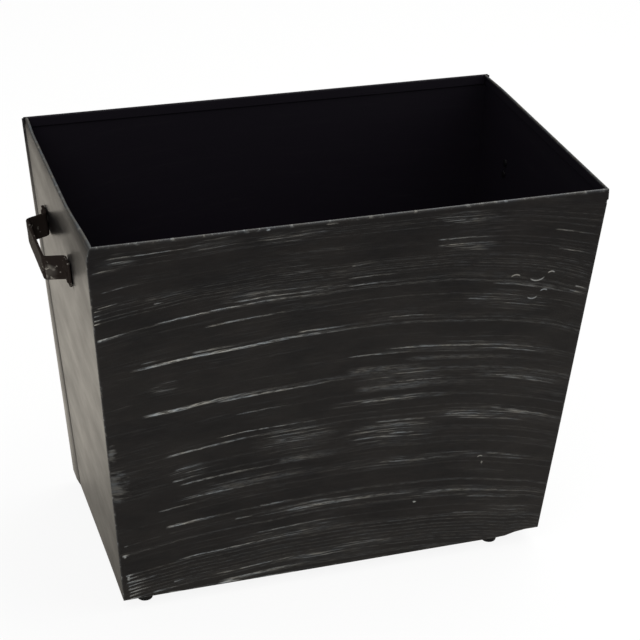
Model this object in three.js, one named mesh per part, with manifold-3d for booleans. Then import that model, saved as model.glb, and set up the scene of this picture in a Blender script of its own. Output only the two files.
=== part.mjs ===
// A tapered log storage box of sheet steel. Its walls lean outwards, the rim is folded over, a strap handle is
// riveted to each end, and four rubber feet are screwed under the floor.
// Millimetres, +Z up. The origin is on the ground below the middle of the box, and the front faces -Y.
import * as THREE from "three";
import { mergeVertices } from "three/addons/utils/BufferGeometryUtils.js";
import Module from "manifold-3d";

const wasm = await Module();
wasm.setup();

// Outside of the box
const rimLength = 480; // along X, at the rim
const rimDepth = 300; // along Y, at the rim
const baseLength = 424; // along X, at the walls' lower edge
const baseDepth = 240;
const overallHeight = 400; // ground to rim
const footHeight = 13; // ground to the walls' lower edge

// Folded sheet of the walls and the floor
const sheetThickness = 1.5;
const hemHeight = 10; // how far the rim's fold comes down inside
const hemRelief = 2; // left free between the fold and a corner flange
const cornerFlange = 12; // strip of an end wall that turns in behind the front
const narrowestFlap = 3; // of the back's flaps: its blank is a rectangle, so they widen away from its longer edge
const floorFlange = 15; // upturned edge of the floor

// Strap handle, bent from flat bar
const strapWidth = 24; // down the wall
const strapThickness = 3;
const strapBelowRim = 61.5; // rim to the strap's upper edge, along the wall
const strapSpan = 97; // between the outsides of the two legs, at the wall
const strapStandOff = 22; // wall to the outside of the grip
const legLean = 6; // how far each leg leans towards the middle on its way out
const tabLength = 17; // end of the strap that lies on the wall
const bendRadius = 4; // at the strap's middle line
const handleSetBack = 14; // from the box's middle towards the back

// Domed rivets, two through each tab of a handle
const rivetRadius = 2.4;
const rivetHeadRadius = 4;
const rivetHeadHeight = 1.4;
const rivetTailRadius = 3.6;
const rivetTailHeight = 2;
const rivetFromTabEnd = 6.5;
const rivetPitch = 12;

// Rubber foot, hollow from below to take the screw's head
const footTopRadius = 9.5;
const footBottomRadius = 7.5;
const footEdgeRound = 0.8;
const footRecessRadius = 5.4;
const footRecessDepth = 6.5;
const footFromLeftEnd = 24.5; // foot's middle to the end wall's lower edge
const footFromRightEnd = 45;
const footFromSide = 19.5; // foot's middle to the front or back wall's lower edge

// Pan-head screw with its washer and nut
const screwRadius = 2;
const screwHeadRadius = 3.9;
const screwHeadHeight = 2.6;
const driveLength = 4.4; // cross recess in the head
const driveWidth = 1;
const driveDepth = 1.4;
const screwPastNut = 2;
const washerRadius = 4.6;
const washerThickness = 0.8;
const nutAcrossFlats = 7;
const nutHeight = 3.2;

// Fits
const contactGap = 0.3; // between two pieces that lie on each other
const holePlay = 0.3; // round a shank in its hole
const overrun = 5; // how far a cutter reaches past what it cuts

// Counts of straight pieces in a bend and in a full circle
const bendSteps = 4;
const circleSteps = 20;

// Heights, runs and tilts that follow from the outside of the box
const wallHeight = overallHeight - footHeight;
const endRun = (rimLength - baseLength) / 2;
const sideRun = (rimDepth - baseDepth) / 2;
const endTilt = Math.atan2(endRun, wallHeight);
const sideTilt = Math.atan2(sideRun, wallHeight);
const hemStart = overallHeight - hemHeight;
const floorTop = footHeight + sheetThickness;
const farPast = overrun + overrun;

// Insets of the layers in a corner, from the outside: a sheet, the gap behind it, and a second sheet
const behindSheet = sheetThickness + contactGap;
const secondSheet = behindSheet + sheetThickness;
const behindSecond = secondSheet + contactGap;

// How far the back reaches past an end wall's outside, to turn its flap round the corner
const flapOutside = contactGap + sheetThickness;

const blackPaint = { color: 0x232322, roughness: 0.55, metalness: 0.2 };
const handlePaint = { color: 0x2a2927, roughness: 0.45, metalness: 0.5 };
const zincSteel = { color: 0x8d8f8e, roughness: 0.35, metalness: 0.9 };
const rubber = { color: 0x151516, roughness: 0.85, metalness: 0 };

// Cuts and joins of closed geometries
function solidOf(geometry) {
  const bare = geometry.clone();
  bare.deleteAttribute("normal");
  bare.deleteAttribute("uv");
  const merged = mergeVertices(bare);
  return new wasm.Manifold(
    new wasm.Mesh({
      numProp: 3,
      vertProperties: merged.attributes.position.array,
      triVerts: new Uint32Array(merged.index.array),
    }),
  );
}

function geometryOf(solid) {
  const made = solid.getMesh();
  const geometry = new THREE.BufferGeometry();
  geometry.setAttribute("position", new THREE.BufferAttribute(made.vertProperties, 3));
  geometry.setIndex(new THREE.BufferAttribute(made.triVerts, 1));
  const flat = geometry.toNonIndexed();
  flat.computeVertexNormals();
  return flat;
}

function joined(first, ...others) {
  return geometryOf(others.reduce((whole, other) => whole.add(solidOf(other)), solidOf(first)));
}

function cut(first, ...cutters) {
  return geometryOf(cutters.reduce((left, cutter) => left.subtract(solidOf(cutter)), solidOf(first)));
}

function shared(first, ...limits) {
  return geometryOf(limits.reduce((left, limit) => left.intersect(solidOf(limit)), solidOf(first)));
}

// Half the box's outside length and depth at a height
function halfLengthAt(z) {
  return (baseLength + ((rimLength - baseLength) * (z - footHeight)) / wallHeight) / 2;
}

function halfDepthAt(z) {
  return (baseDepth + ((rimDepth - baseDepth) * (z - footHeight)) / wallHeight) / 2;
}

// A block with the box's own slopes, its ends and its front and back moved in by a depth square to each wall
function taperedBlock(lowZ, highZ, endInset, sideInset) {
  const corners = [lowZ, highZ].flatMap((z) => {
    const x = halfLengthAt(z) - endInset / Math.cos(endTilt);
    const y = halfDepthAt(z) - sideInset / Math.cos(sideTilt);
    return [[-x, -y, z], [x, -y, z], [x, y, z], [-x, y, z]];
  });
  const faces = [[0, 3, 2, 1], [4, 5, 6, 7], [0, 1, 5, 4], [1, 2, 6, 5], [2, 3, 7, 6], [3, 0, 4, 7]];
  const geometry = new THREE.BufferGeometry();
  geometry.setAttribute("position", new THREE.Float32BufferAttribute(corners.flat(), 3));
  geometry.setIndex(faces.flatMap(([a, b, c, d]) => [a, b, c, a, c, d]));
  return geometry.toNonIndexed();
}

// The four columns at the box's corners, outside a depth from the ends and a depth from the front and back
function cornerColumns(lowZ, highZ, endDepth, sideDepth) {
  return cut(
    taperedBlock(lowZ, highZ, -overrun, -overrun),
    taperedBlock(lowZ - overrun, highZ + overrun, endDepth, -farPast),
    taperedBlock(lowZ - overrun, highZ + overrun, -farPast, sideDepth),
  );
}

// Everything on one side of the box's middle: sign 1 keeps +X or +Y, and -1 the other
function halfSpace(axis, sign) {
  const size = rimLength + rimDepth + overallHeight;
  const half = new THREE.BoxGeometry(size, size, size);
  const away = new THREE.Vector3();
  away.setComponent(axis, (sign * size) / 2);
  return half.translate(away.x, away.y, away.z);
}

// Section of a plain wall across its thickness (x, outside at zero) and up its slope (y), rounded under the fold
function sheetSection(slope) {
  const section = new THREE.Shape();
  section.moveTo(0, 0);
  section.lineTo(sheetThickness, 0);
  section.lineTo(sheetThickness, slope);
  section.absarc(sheetThickness, slope - sheetThickness, sheetThickness, Math.PI / 2, Math.PI, false);
  return section;
}

// Section of the rim's fold: it starts in the middle of the sheet, turns over the top and comes down inside
function hemSection(slope) {
  const inside = sheetThickness + sheetThickness;
  const middle = sheetThickness / 2;
  const section = new THREE.Shape();
  section.moveTo(middle, slope - hemHeight);
  section.lineTo(inside, slope - hemHeight);
  section.lineTo(inside, slope - sheetThickness);
  section.absarc(sheetThickness, slope - sheetThickness, sheetThickness, 0, (Math.PI * 2) / 3, false);
  return section;
}

// Turns what is drawn in X and Y and extruded along Z so that it is extruded along X: X becomes Y, and Y becomes Z
const alongBox = new THREE.Matrix4().makeBasis(
  new THREE.Vector3(0, 1, 0),
  new THREE.Vector3(0, 0, 1),
  new THREE.Vector3(1, 0, 0),
);

// A wall's section drawn out along the rim and leaned outwards, on the box's -Y side
function drawnOut(section, length, run, halfBase) {
  const settings = { depth: length, bevelEnabled: false, curveSegments: bendSteps };
  const wall = new THREE.ExtrudeGeometry(section, settings);
  wall.translate(0, 0, -length / 2);
  wall.applyMatrix4(alongBox);
  wall.rotateX(Math.atan2(run, wallHeight));
  wall.translate(0, -halfBase, footHeight);
  return wall;
}

// A wall of the box's -Y side: it covers the end walls' edges, and its fold stops short of their folds
function sideWall(pastEnds) {
  const slope = Math.hypot(sideRun, wallHeight);
  const lowZ = footHeight - farPast;
  const highZ = overallHeight + farPast;
  const plain = drawnOut(sheetSection(slope), rimLength + farPast, sideRun, baseDepth / 2);
  const hem = drawnOut(hemSection(slope), rimLength + farPast, sideRun, baseDepth / 2);
  return joined(
    shared(plain, taperedBlock(lowZ, highZ, -pastEnds, -overrun)),
    shared(hem, taperedBlock(lowZ, highZ, behindSecond, -overrun)),
  );
}

// Back wall, built on the box's -Y side: its blank is a rectangle, a little wider than the longer of the rim and
// the base, and what reaches past the slanting corners turns round them as a flap on each end wall's outside
function backWall() {
  const flapTop = overallHeight - sheetThickness;
  const flapWidthAt = (z) => narrowestFlap + Math.max(rimLength, baseLength) / 2 - halfLengthAt(z);
  const flap = new THREE.Shape([
    new THREE.Vector2(-halfDepthAt(footHeight), footHeight),
    new THREE.Vector2(flapWidthAt(footHeight) - halfDepthAt(footHeight), footHeight),
    new THREE.Vector2(flapWidthAt(flapTop) - halfDepthAt(flapTop), flapTop),
    new THREE.Vector2(-halfDepthAt(flapTop), flapTop),
  ]);
  const reach = rimLength + farPast;
  const flapSpace = new THREE.ExtrudeGeometry(flap, { depth: reach, bevelEnabled: false });
  flapSpace.translate(0, 0, -reach / 2);
  flapSpace.applyMatrix4(alongBox);
  return joined(
    sideWall(flapOutside),
    shared(
      cut(
        taperedBlock(footHeight, flapTop, -flapOutside, 0),
        taperedBlock(footHeight - overrun, flapTop + overrun, -contactGap, -overrun),
      ),
      flapSpace,
    ),
  );
}

// End wall at +X: it fits between the front and the back, with a flange turned in behind the front, which lies
// towards -Y on side 1, the right, and towards +Y on side -1, whose wall is turned round to the left afterwards
function endWall(side) {
  const slope = Math.hypot(endRun, wallHeight);
  const lowZ = footHeight - farPast;
  const highZ = overallHeight + farPast;
  const toEnd = (wall) => wall.rotateZ(Math.PI / 2);
  const plain = toEnd(drawnOut(sheetSection(slope), rimDepth + overrun, endRun, baseLength / 2));
  const hem = toEnd(drawnOut(hemSection(slope), rimDepth + overrun, endRun, baseLength / 2));
  const flangeTop = hemStart - hemRelief;
  const flanges = shared(
    cut(
      taperedBlock(footHeight, flangeTop, sheetThickness / 2, behindSheet),
      taperedBlock(footHeight - overrun, flangeTop + overrun, cornerFlange, -overrun),
      taperedBlock(footHeight - overrun, flangeTop + overrun, -overrun, secondSheet),
    ),
    halfSpace(0, 1),
    halfSpace(1, -side),
  );
  const wall = joined(
    shared(plain, taperedBlock(lowZ, highZ, -overrun, behindSheet)),
    shared(hem, taperedBlock(lowZ, highZ, -overrun, behindSecond)),
    flanges,
  );
  const frame = endFrame(1);
  const holes = rivetPlaces(side).map(({ along, up }) => {
    const hole = new THREE.CylinderGeometry(rivetRadius + holePlay, rivetRadius + holePlay, farPast, circleSteps);
    return hole.rotateZ(Math.PI / 2).translate(0, along, up).applyMatrix4(frame);
  });
  return cut(wall, ...holes);
}

// Floor: a tray whose upturned edges end short of the corners, notched at the front, where it clears the end walls'
// flanges
function floorTray() {
  const notch = cornerFlange + contactGap;
  const flangeSpace = cornerColumns(footHeight - overrun, footHeight + floorFlange + overrun, notch, behindSecond);
  const tray = cut(
    taperedBlock(footHeight, footHeight + floorFlange, behindSheet, behindSheet),
    taperedBlock(floorTop, footHeight + floorFlange + overrun, secondSheet, secondSheet),
    shared(flangeSpace, halfSpace(1, -1)),
    cornerColumns(floorTop, footHeight + floorFlange + overrun, notch, notch),
  );
  const holes = footPlaces.map(({ x, y }) => {
    const hole = new THREE.CylinderGeometry(screwRadius + holePlay, screwRadius + holePlay, farPast, circleSteps);
    return hole.rotateX(Math.PI / 2).translate(x, y, footHeight);
  });
  return cut(tray, ...holes);
}

// Frame of an end wall's outside: +X out of the wall, +Z up its slope, from the middle of the rim's edge.
// Side 1 is the right end, and -1 the left.
function endFrame(side) {
  const turn = side > 0 ? 0 : Math.PI;
  const frame = new THREE.Matrix4().makeRotationFromEuler(new THREE.Euler(0, endTilt, turn, "ZYX"));
  return frame.setPosition((side * rimLength) / 2, 0, overallHeight);
}

// The rivets of one handle in its end's frame, named by their place on the box
function rivetPlaces(side) {
  const fromMiddle = strapSpan / 2 + tabLength - rivetFromTabEnd;
  const middleUp = -strapBelowRim - strapWidth / 2;
  return [["front", -1], ["back", 1]].flatMap(([end, towards]) =>
    [["upper", 1], ["lower", -1]].map(([level, rise]) => ({
      name: `${end}_${level}`,
      along: side * (handleSetBack + towards * fromMiddle),
      up: middleUp + (rise * rivetPitch) / 2,
    })),
  );
}

// Outline of a strip bent along a line of points, with round bends. Points are (out from the wall, along it).
function bentStrip(points, radius, thickness) {
  const half = thickness / 2;
  const inner = [];
  const outer = [];
  const add = (place, normal) => {
    inner.push(place.clone().addScaledVector(normal, -half));
    outer.push(place.clone().addScaledVector(normal, half));
  };
  const leftOf = (direction) => new THREE.Vector2(-direction.y, direction.x);
  points.forEach((point, i) => {
    const before = i > 0 ? point.clone().sub(points[i - 1]).normalize() : null;
    const after = i < points.length - 1 ? points[i + 1].clone().sub(point).normalize() : null;
    if (!before || !after) {
      add(point, leftOf(before || after));
      return;
    }
    const turn = Math.atan2(before.cross(after), before.dot(after));
    const reach = radius * Math.tan(Math.abs(turn) / 2);
    const towards = leftOf(before).multiplyScalar(Math.sign(turn));
    const start = point.clone().addScaledVector(before, -reach);
    const centre = start.clone().addScaledVector(towards, radius);
    for (let step = 0; step <= bendSteps; step++) {
      const angle = (turn * step) / bendSteps;
      const spoke = start.clone().sub(centre).rotateAround(new THREE.Vector2(), angle);
      const normal = leftOf(before.clone().rotateAround(new THREE.Vector2(), angle));
      add(centre.clone().add(spoke), normal);
    }
  });
  return new THREE.Shape([...inner, ...outer.reverse()]);
}

// A strap handle in its end's frame: two tabs, two leaning legs and the grip between them
function handle(side) {
  const half = strapThickness / 2;
  const onWall = contactGap + half;
  const grip = strapStandOff - half;
  const tabEnd = strapSpan / 2 + tabLength;
  const legFoot = strapSpan / 2 - half;
  const legHead = legFoot - legLean;
  const halfLine = [[onWall, tabEnd], [onWall, legFoot], [grip, legHead]];
  const line = [
    ...halfLine.map(([out, along]) => new THREE.Vector2(out, -along)),
    ...halfLine.reverse().map(([out, along]) => new THREE.Vector2(out, along)),
  ];
  const outline = bentStrip(line, bendRadius, strapThickness);
  const strap = new THREE.ExtrudeGeometry(outline, { depth: strapWidth, bevelEnabled: false });
  strap.translate(0, side * handleSetBack, -strapBelowRim - strapWidth);
  const holes = rivetPlaces(side).map(({ along, up }) => {
    const hole = new THREE.CylinderGeometry(rivetRadius + holePlay, rivetRadius + holePlay, farPast, circleSteps);
    return hole.rotateZ(Math.PI / 2).translate(0, along, up);
  });
  return cut(strap, ...holes);
}

// A turned piece: the outline's points are (radius, along the axis), and the axis is +Z
function turned(outline) {
  const points = outline.map(([radius, along]) => new THREE.Vector2(radius, along));
  return new THREE.LatheGeometry(points, circleSteps).rotateX(Math.PI / 2);
}

// Points along an arc of a turned piece's outline, as (radius, along the axis)
function roundedEdge(centreRadius, centreAlong, radius, fromAngle, toAngle) {
  return Array.from({ length: bendSteps + 1 }, (_, step) => {
    const angle = fromAngle + ((toAngle - fromAngle) * step) / bendSteps;
    return [centreRadius + radius * Math.cos(angle), centreAlong + radius * Math.sin(angle)];
  });
}

// A rivet along +Z, its origin on the wall's outside: the tail inside the box, and a dome on the strap's tab
function rivet() {
  const tailTop = -sheetThickness - contactGap;
  const headUnder = contactGap + strapThickness + contactGap;
  const tailRound = rivetTailHeight / 2;
  const domeAngle = 2 * Math.atan2(rivetHeadHeight, rivetHeadRadius);
  const domeRadius = rivetHeadRadius / Math.sin(domeAngle);
  const domeCentre = headUnder + rivetHeadHeight - domeRadius;
  return turned([
    [0, tailTop - rivetTailHeight],
    ...roundedEdge(rivetTailRadius - tailRound, tailTop - tailRound, tailRound, -Math.PI / 2, 0),
    [rivetTailRadius, tailTop],
    [rivetRadius, tailTop],
    [rivetRadius, headUnder],
    ...roundedEdge(0, domeCentre, domeRadius, Math.PI / 2 - domeAngle, Math.PI / 2).slice(0, -1),
    [0, headUnder + rivetHeadHeight],
  ]);
}

// The four feet's middles, named by their place on the box
const footPlaces = [["front", -1], ["back", 1]].flatMap(([side, towardsY]) =>
  [["left", -1, footFromLeftEnd], ["right", 1, footFromRightEnd]].map(([end, towardsX, fromEnd]) => ({
    name: `${side}_${end}`,
    x: towardsX * (baseLength / 2 - fromEnd),
    y: towardsY * (baseDepth / 2 - footFromSide),
  })),
);

// Rubber foot from the ground up to the floor, with a recess below and a hole for the screw
function rubberFoot() {
  const top = footHeight - contactGap;
  const holeRadius = screwRadius + holePlay;
  const lowRound = roundedEdge(footBottomRadius - footEdgeRound, footEdgeRound, footEdgeRound, -Math.PI / 2, 0);
  return turned([
    [footRecessRadius, 0],
    ...lowRound,
    [footTopRadius, top],
    [holeRadius, top],
    [holeRadius, footRecessDepth],
    [footRecessRadius, footRecessDepth],
    [footRecessRadius, 0],
  ]);
}

// Washer above the screw's head, in the foot's recess
function recessWasher() {
  const top = footRecessDepth - contactGap;
  const low = top - washerThickness;
  const holeRadius = screwRadius + holePlay;
  return turned([
    [holeRadius, low],
    [washerRadius, low],
    [washerRadius, top],
    [holeRadius, top],
    [holeRadius, low],
  ]);
}

// Screw with its rounded head down in the foot and its end above the nut
function footScrew() {
  const headTop = footRecessDepth - contactGap - washerThickness - contactGap;
  const headLow = headTop - screwHeadHeight;
  const headRound = screwHeadHeight / 2;
  const end = floorTop + contactGap + nutHeight + screwPastNut;
  const body = turned([
    [0, headLow],
    ...roundedEdge(screwHeadRadius - headRound, headLow + headRound, headRound, -Math.PI / 2, 0),
    [screwHeadRadius, headTop],
    [screwRadius, headTop],
    [screwRadius, end - screwRadius / 2],
    [screwRadius / 2, end],
    [0, end],
  ]);
  const slots = [[driveLength, driveWidth], [driveWidth, driveLength]].map(([along, across]) =>
    new THREE.BoxGeometry(along, across, driveDepth + driveDepth).translate(0, 0, headLow),
  );
  return cut(body, ...slots);
}

// Hexagon nut on the floor
function footNut() {
  const corner = nutAcrossFlats / Math.sqrt(3);
  const hexagon = new THREE.Shape(
    Array.from({ length: 6 }, (_, i) =>
      new THREE.Vector2(corner, 0).rotateAround(new THREE.Vector2(), (i * Math.PI) / 3),
    ),
  );
  const hole = new THREE.Path();
  hole.absarc(0, 0, screwRadius + holePlay, 0, Math.PI * 2, true);
  hexagon.holes.push(hole);
  const settings = { depth: nutHeight, bevelEnabled: false, curveSegments: circleSteps / 2 };
  return new THREE.ExtrudeGeometry(hexagon, settings).translate(0, 0, floorTop + contactGap);
}

// The assembly: every piece in its place, under its own name
function piece(name, geometry, finish) {
  const mesh = new THREE.Mesh(geometry, new THREE.MeshStandardMaterial(finish));
  mesh.name = name;
  return mesh;
}

const logBox = new THREE.Group();

logBox.add(piece("front_wall", sideWall(0), blackPaint));

const back = piece("back_wall", backWall(), blackPaint);
back.rotation.z = Math.PI;
logBox.add(back);

[["left", -1], ["right", 1]].forEach(([end, side]) => {
  const wall = piece(`${end}_end_wall`, endWall(side), blackPaint);
  wall.rotation.z = side > 0 ? 0 : Math.PI;
  logBox.add(wall);

  const onWall = new THREE.Group();
  onWall.applyMatrix4(endFrame(side));
  onWall.add(piece(`${end}_handle`, handle(side), handlePaint));
  rivetPlaces(side).forEach(({ name, along, up }) => {
    const fastener = piece(`${end}_handle_${name}_rivet`, rivet(), handlePaint);
    fastener.rotation.y = Math.PI / 2;
    fastener.position.set(0, along, up);
    onWall.add(fastener);
  });
  logBox.add(onWall);
});

logBox.add(piece("floor_tray", floorTray(), blackPaint));

footPlaces.forEach(({ name, x, y }) => {
  const stack = new THREE.Group();
  stack.position.set(x, y, 0);
  stack.add(piece(`${name}_foot`, rubberFoot(), rubber));
  stack.add(piece(`${name}_foot_washer`, recessWasher(), zincSteel));
  stack.add(piece(`${name}_foot_screw`, footScrew(), zincSteel));
  stack.add(piece(`${name}_foot_nut`, footNut(), zincSteel));
  logBox.add(stack);
});

export default logBox;
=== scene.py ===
"""Log storage box: folded sheet-steel walls, strap handles and rubber feet, and the studio that shows them.

Metres, +Z up. The front faces -Y, and every piece stands where its solid in the frame stands.
"""
import logging
import math
from dataclasses import dataclass, field
from enum import Enum
from functools import partial
from typing import Callable

import bmesh
import bpy
from bpy.types import Material, Mesh, Node, NodeSocket, NodeTree, Object
from mathutils import Matrix, Vector, kdtree, noise


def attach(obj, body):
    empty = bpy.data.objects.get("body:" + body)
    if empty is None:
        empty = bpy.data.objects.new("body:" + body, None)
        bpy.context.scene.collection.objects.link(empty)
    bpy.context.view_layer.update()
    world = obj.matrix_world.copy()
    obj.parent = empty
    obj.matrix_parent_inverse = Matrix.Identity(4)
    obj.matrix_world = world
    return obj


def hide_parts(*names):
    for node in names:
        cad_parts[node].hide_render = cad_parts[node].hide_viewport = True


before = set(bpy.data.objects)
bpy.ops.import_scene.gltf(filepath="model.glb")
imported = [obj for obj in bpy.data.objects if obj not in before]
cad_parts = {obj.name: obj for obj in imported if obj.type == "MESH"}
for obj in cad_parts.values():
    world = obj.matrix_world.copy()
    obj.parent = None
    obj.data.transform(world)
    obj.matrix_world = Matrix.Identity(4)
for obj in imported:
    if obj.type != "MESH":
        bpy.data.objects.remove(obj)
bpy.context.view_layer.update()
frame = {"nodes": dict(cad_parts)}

log = logging.getLogger("log_box")

MILLIMETRE = 0.001
BODY = "root"
PICTURE_PIXELS = 640
SHEET_MAP = "sheet"
OUTSIDE = "outside"
# per vertex: wear of the paint; on the straps, values above 1 also mark the legs' bare iron with its painted
# highlight
WEAR_AND_GLINT = "wear"
MIX_A, MIX_B, MIXED = 6, 7, 2  # sockets of the mix node for colours
VECTOR, FROM_LOW, FROM_HIGH, TO_LOW, TO_HIGH, MAPPED = 6, 7, 8, 9, 10, 1  # the same of a range of vectors


class End(Enum):
    """An end of the box: its name and the side of the middle that it lies on."""

    LEFT = ("left", -1)
    RIGHT = ("right", 1)

    @property
    def side(self) -> int:
        """The sign of the end's X."""
        return self.value[1]

    @property
    def word(self) -> str:
        """The end's name."""
        return self.value[0]


class Face(Enum):
    """The four walls, each with its turn about Z from the front or from the right end."""

    FRONT = ("front_wall", 0.0)
    BACK = ("back_wall", math.pi)
    RIGHT = ("right_end_wall", 0.0)
    LEFT = ("left_end_wall", math.pi)

    @property
    def node(self) -> str:
        """The wall's node in the frame."""
        return self.value[0]

    @property
    def turn(self) -> float:
        """The wall's turn about Z in radians."""
        return self.value[1]

    @property
    def is_end(self) -> bool:
        """Whether the wall closes an end of the box."""
        return self in (Face.LEFT, Face.RIGHT)


def linear(colour: str) -> tuple[float, float, float, float]:
    """Turns an sRGB hex colour to linear light.

    Args:
        colour: The colour as "#rrggbb".

    Returns:
        Red, green, blue and an alpha of 1.
    """
    values = [int(colour[i:i + 2], 16) / 255 for i in (1, 3, 5)]
    light = [v / 12.92 if v <= 0.04045 else ((v + 0.055) / 1.055) ** 2.4 for v in values]
    return (*light, 1.0)


def connect(node: Node, inputs: dict) -> None:
    """Sets and links a node's inputs.

    Args:
        node: The node.
        inputs: Input name or number to a value, a socket, or a node whose first output is meant.
    """
    for key, value in inputs.items():
        if isinstance(value, Node):
            value = value.outputs[0]
        if isinstance(value, NodeSocket):
            node.id_data.links.new(value, node.inputs[key])
        else:
            node.inputs[key].default_value = value


def add_node(tree: NodeTree, kind: str, inputs: dict | None = None, **settings) -> Node:
    """Adds a node with its settings and links.

    Args:
        tree: The node tree that takes the node.
        kind: The node's Blender type without its prefix.
        inputs: Its inputs, as connect takes them.
        **settings: The node's own properties.

    Returns:
        The new node.
    """
    node = tree.nodes.new(f"ShaderNode{kind}")
    for name, value in settings.items():
        setattr(node, name, value)
    connect(node, inputs or {})
    return node


def new_material(name: str) -> tuple[Material, Callable, Node]:
    """Makes a material that holds only its shader and output.

    Args:
        name: The material's name.

    Returns:
        The material, add_node for its tree, and its shader node.
    """
    material = bpy.data.materials.new(name)
    material.use_nodes = True
    material.node_tree.nodes.clear()
    add = partial(add_node, material.node_tree)
    shader = add("BsdfPrincipled")
    add("OutputMaterial", {"Surface": shader})
    return material, add, shader


@dataclass(frozen=True)
class Stroke:
    """One pull of a nearly dry brush, in millimetres on the wall."""

    start: float
    end: float
    level: float  # below the rim, at the arc's top
    width: float
    strength: float


@dataclass(frozen=True)
class Curl:
    """A short curled mark of the brush's tip, in millimetres on the wall."""

    along: float
    below_rim: float
    radius: float
    strength: float
    hollow_up: bool = True


@dataclass(frozen=True)
class Smear:
    """A cloudy patch of thinned silver, in millimetres on the wall."""

    along: float
    below_rim: float
    half_length: float
    half_height: float
    strength: float


@dataclass(frozen=True)
class Sweep:
    """An oval of denser hairlines, where the brush went over twice, in millimetres on the wall."""

    along: float
    level: float
    half_length: float
    half_height: float
    strength: float


EDGE_WEAR = {Face.BACK: (0.03, 0.15), Face.LEFT: (0.22, 0.45), Face.RIGHT: (0.20, 0.5)}
FRONT_SWEEPS = (
    Sweep(-61, 66, 60, 10, 0.30),
    Sweep(154, 91, 48, 11, 0.30),
    Sweep(51, 175, 46, 13, 0.42),
    Sweep(125, 142, 110, 6, 0.40),
    Sweep(176, 174, 55, 6, 0.40),
    Sweep(40, 197, 60, 5, 0.38),
    Sweep(153, 219, 75, 9, 0.42),
    Sweep(45, 235, 52, 14, 0.45),
    Sweep(-48, 225, 42, 20, 0.32),
    Sweep(-149, 239, 20, 10, 0.34),
    Sweep(-89, 264, 70, 7, 0.24),
    Sweep(86, 269, 140, 6, 0.24),
    Sweep(-127, 270, 34, 7, 0.30),
    Sweep(-19, 308, 66, 7, 0.36),
    Sweep(121, 311, 100, 6, 0.32),
    Sweep(-45, 336, 62, 9, 0.40),
    Sweep(-12, 371, 55, 9, 0.34),
    Sweep(24, 364, 32, 16, 0.28),
    Sweep(173, 335, 34, 7, 0.28),
    Sweep(101, 10, 32, 7, 0.30),
    Sweep(104, 35, 32, 11, 0.26),
    Sweep(-214, 11, 20, 8, 0.30),
    Sweep(-127, 7, 28, 6, 0.26),
    Sweep(-59, 10, 34, 7, 0.32),
    Sweep(-55, 45, 20, 9, 0.18),
    Sweep(5, 52, 26, 9, 0.24),
    Sweep(-166, 48, 24, 5, 0.18),
    Sweep(-172, 140, 14, 9, 0.20),
)
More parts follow.
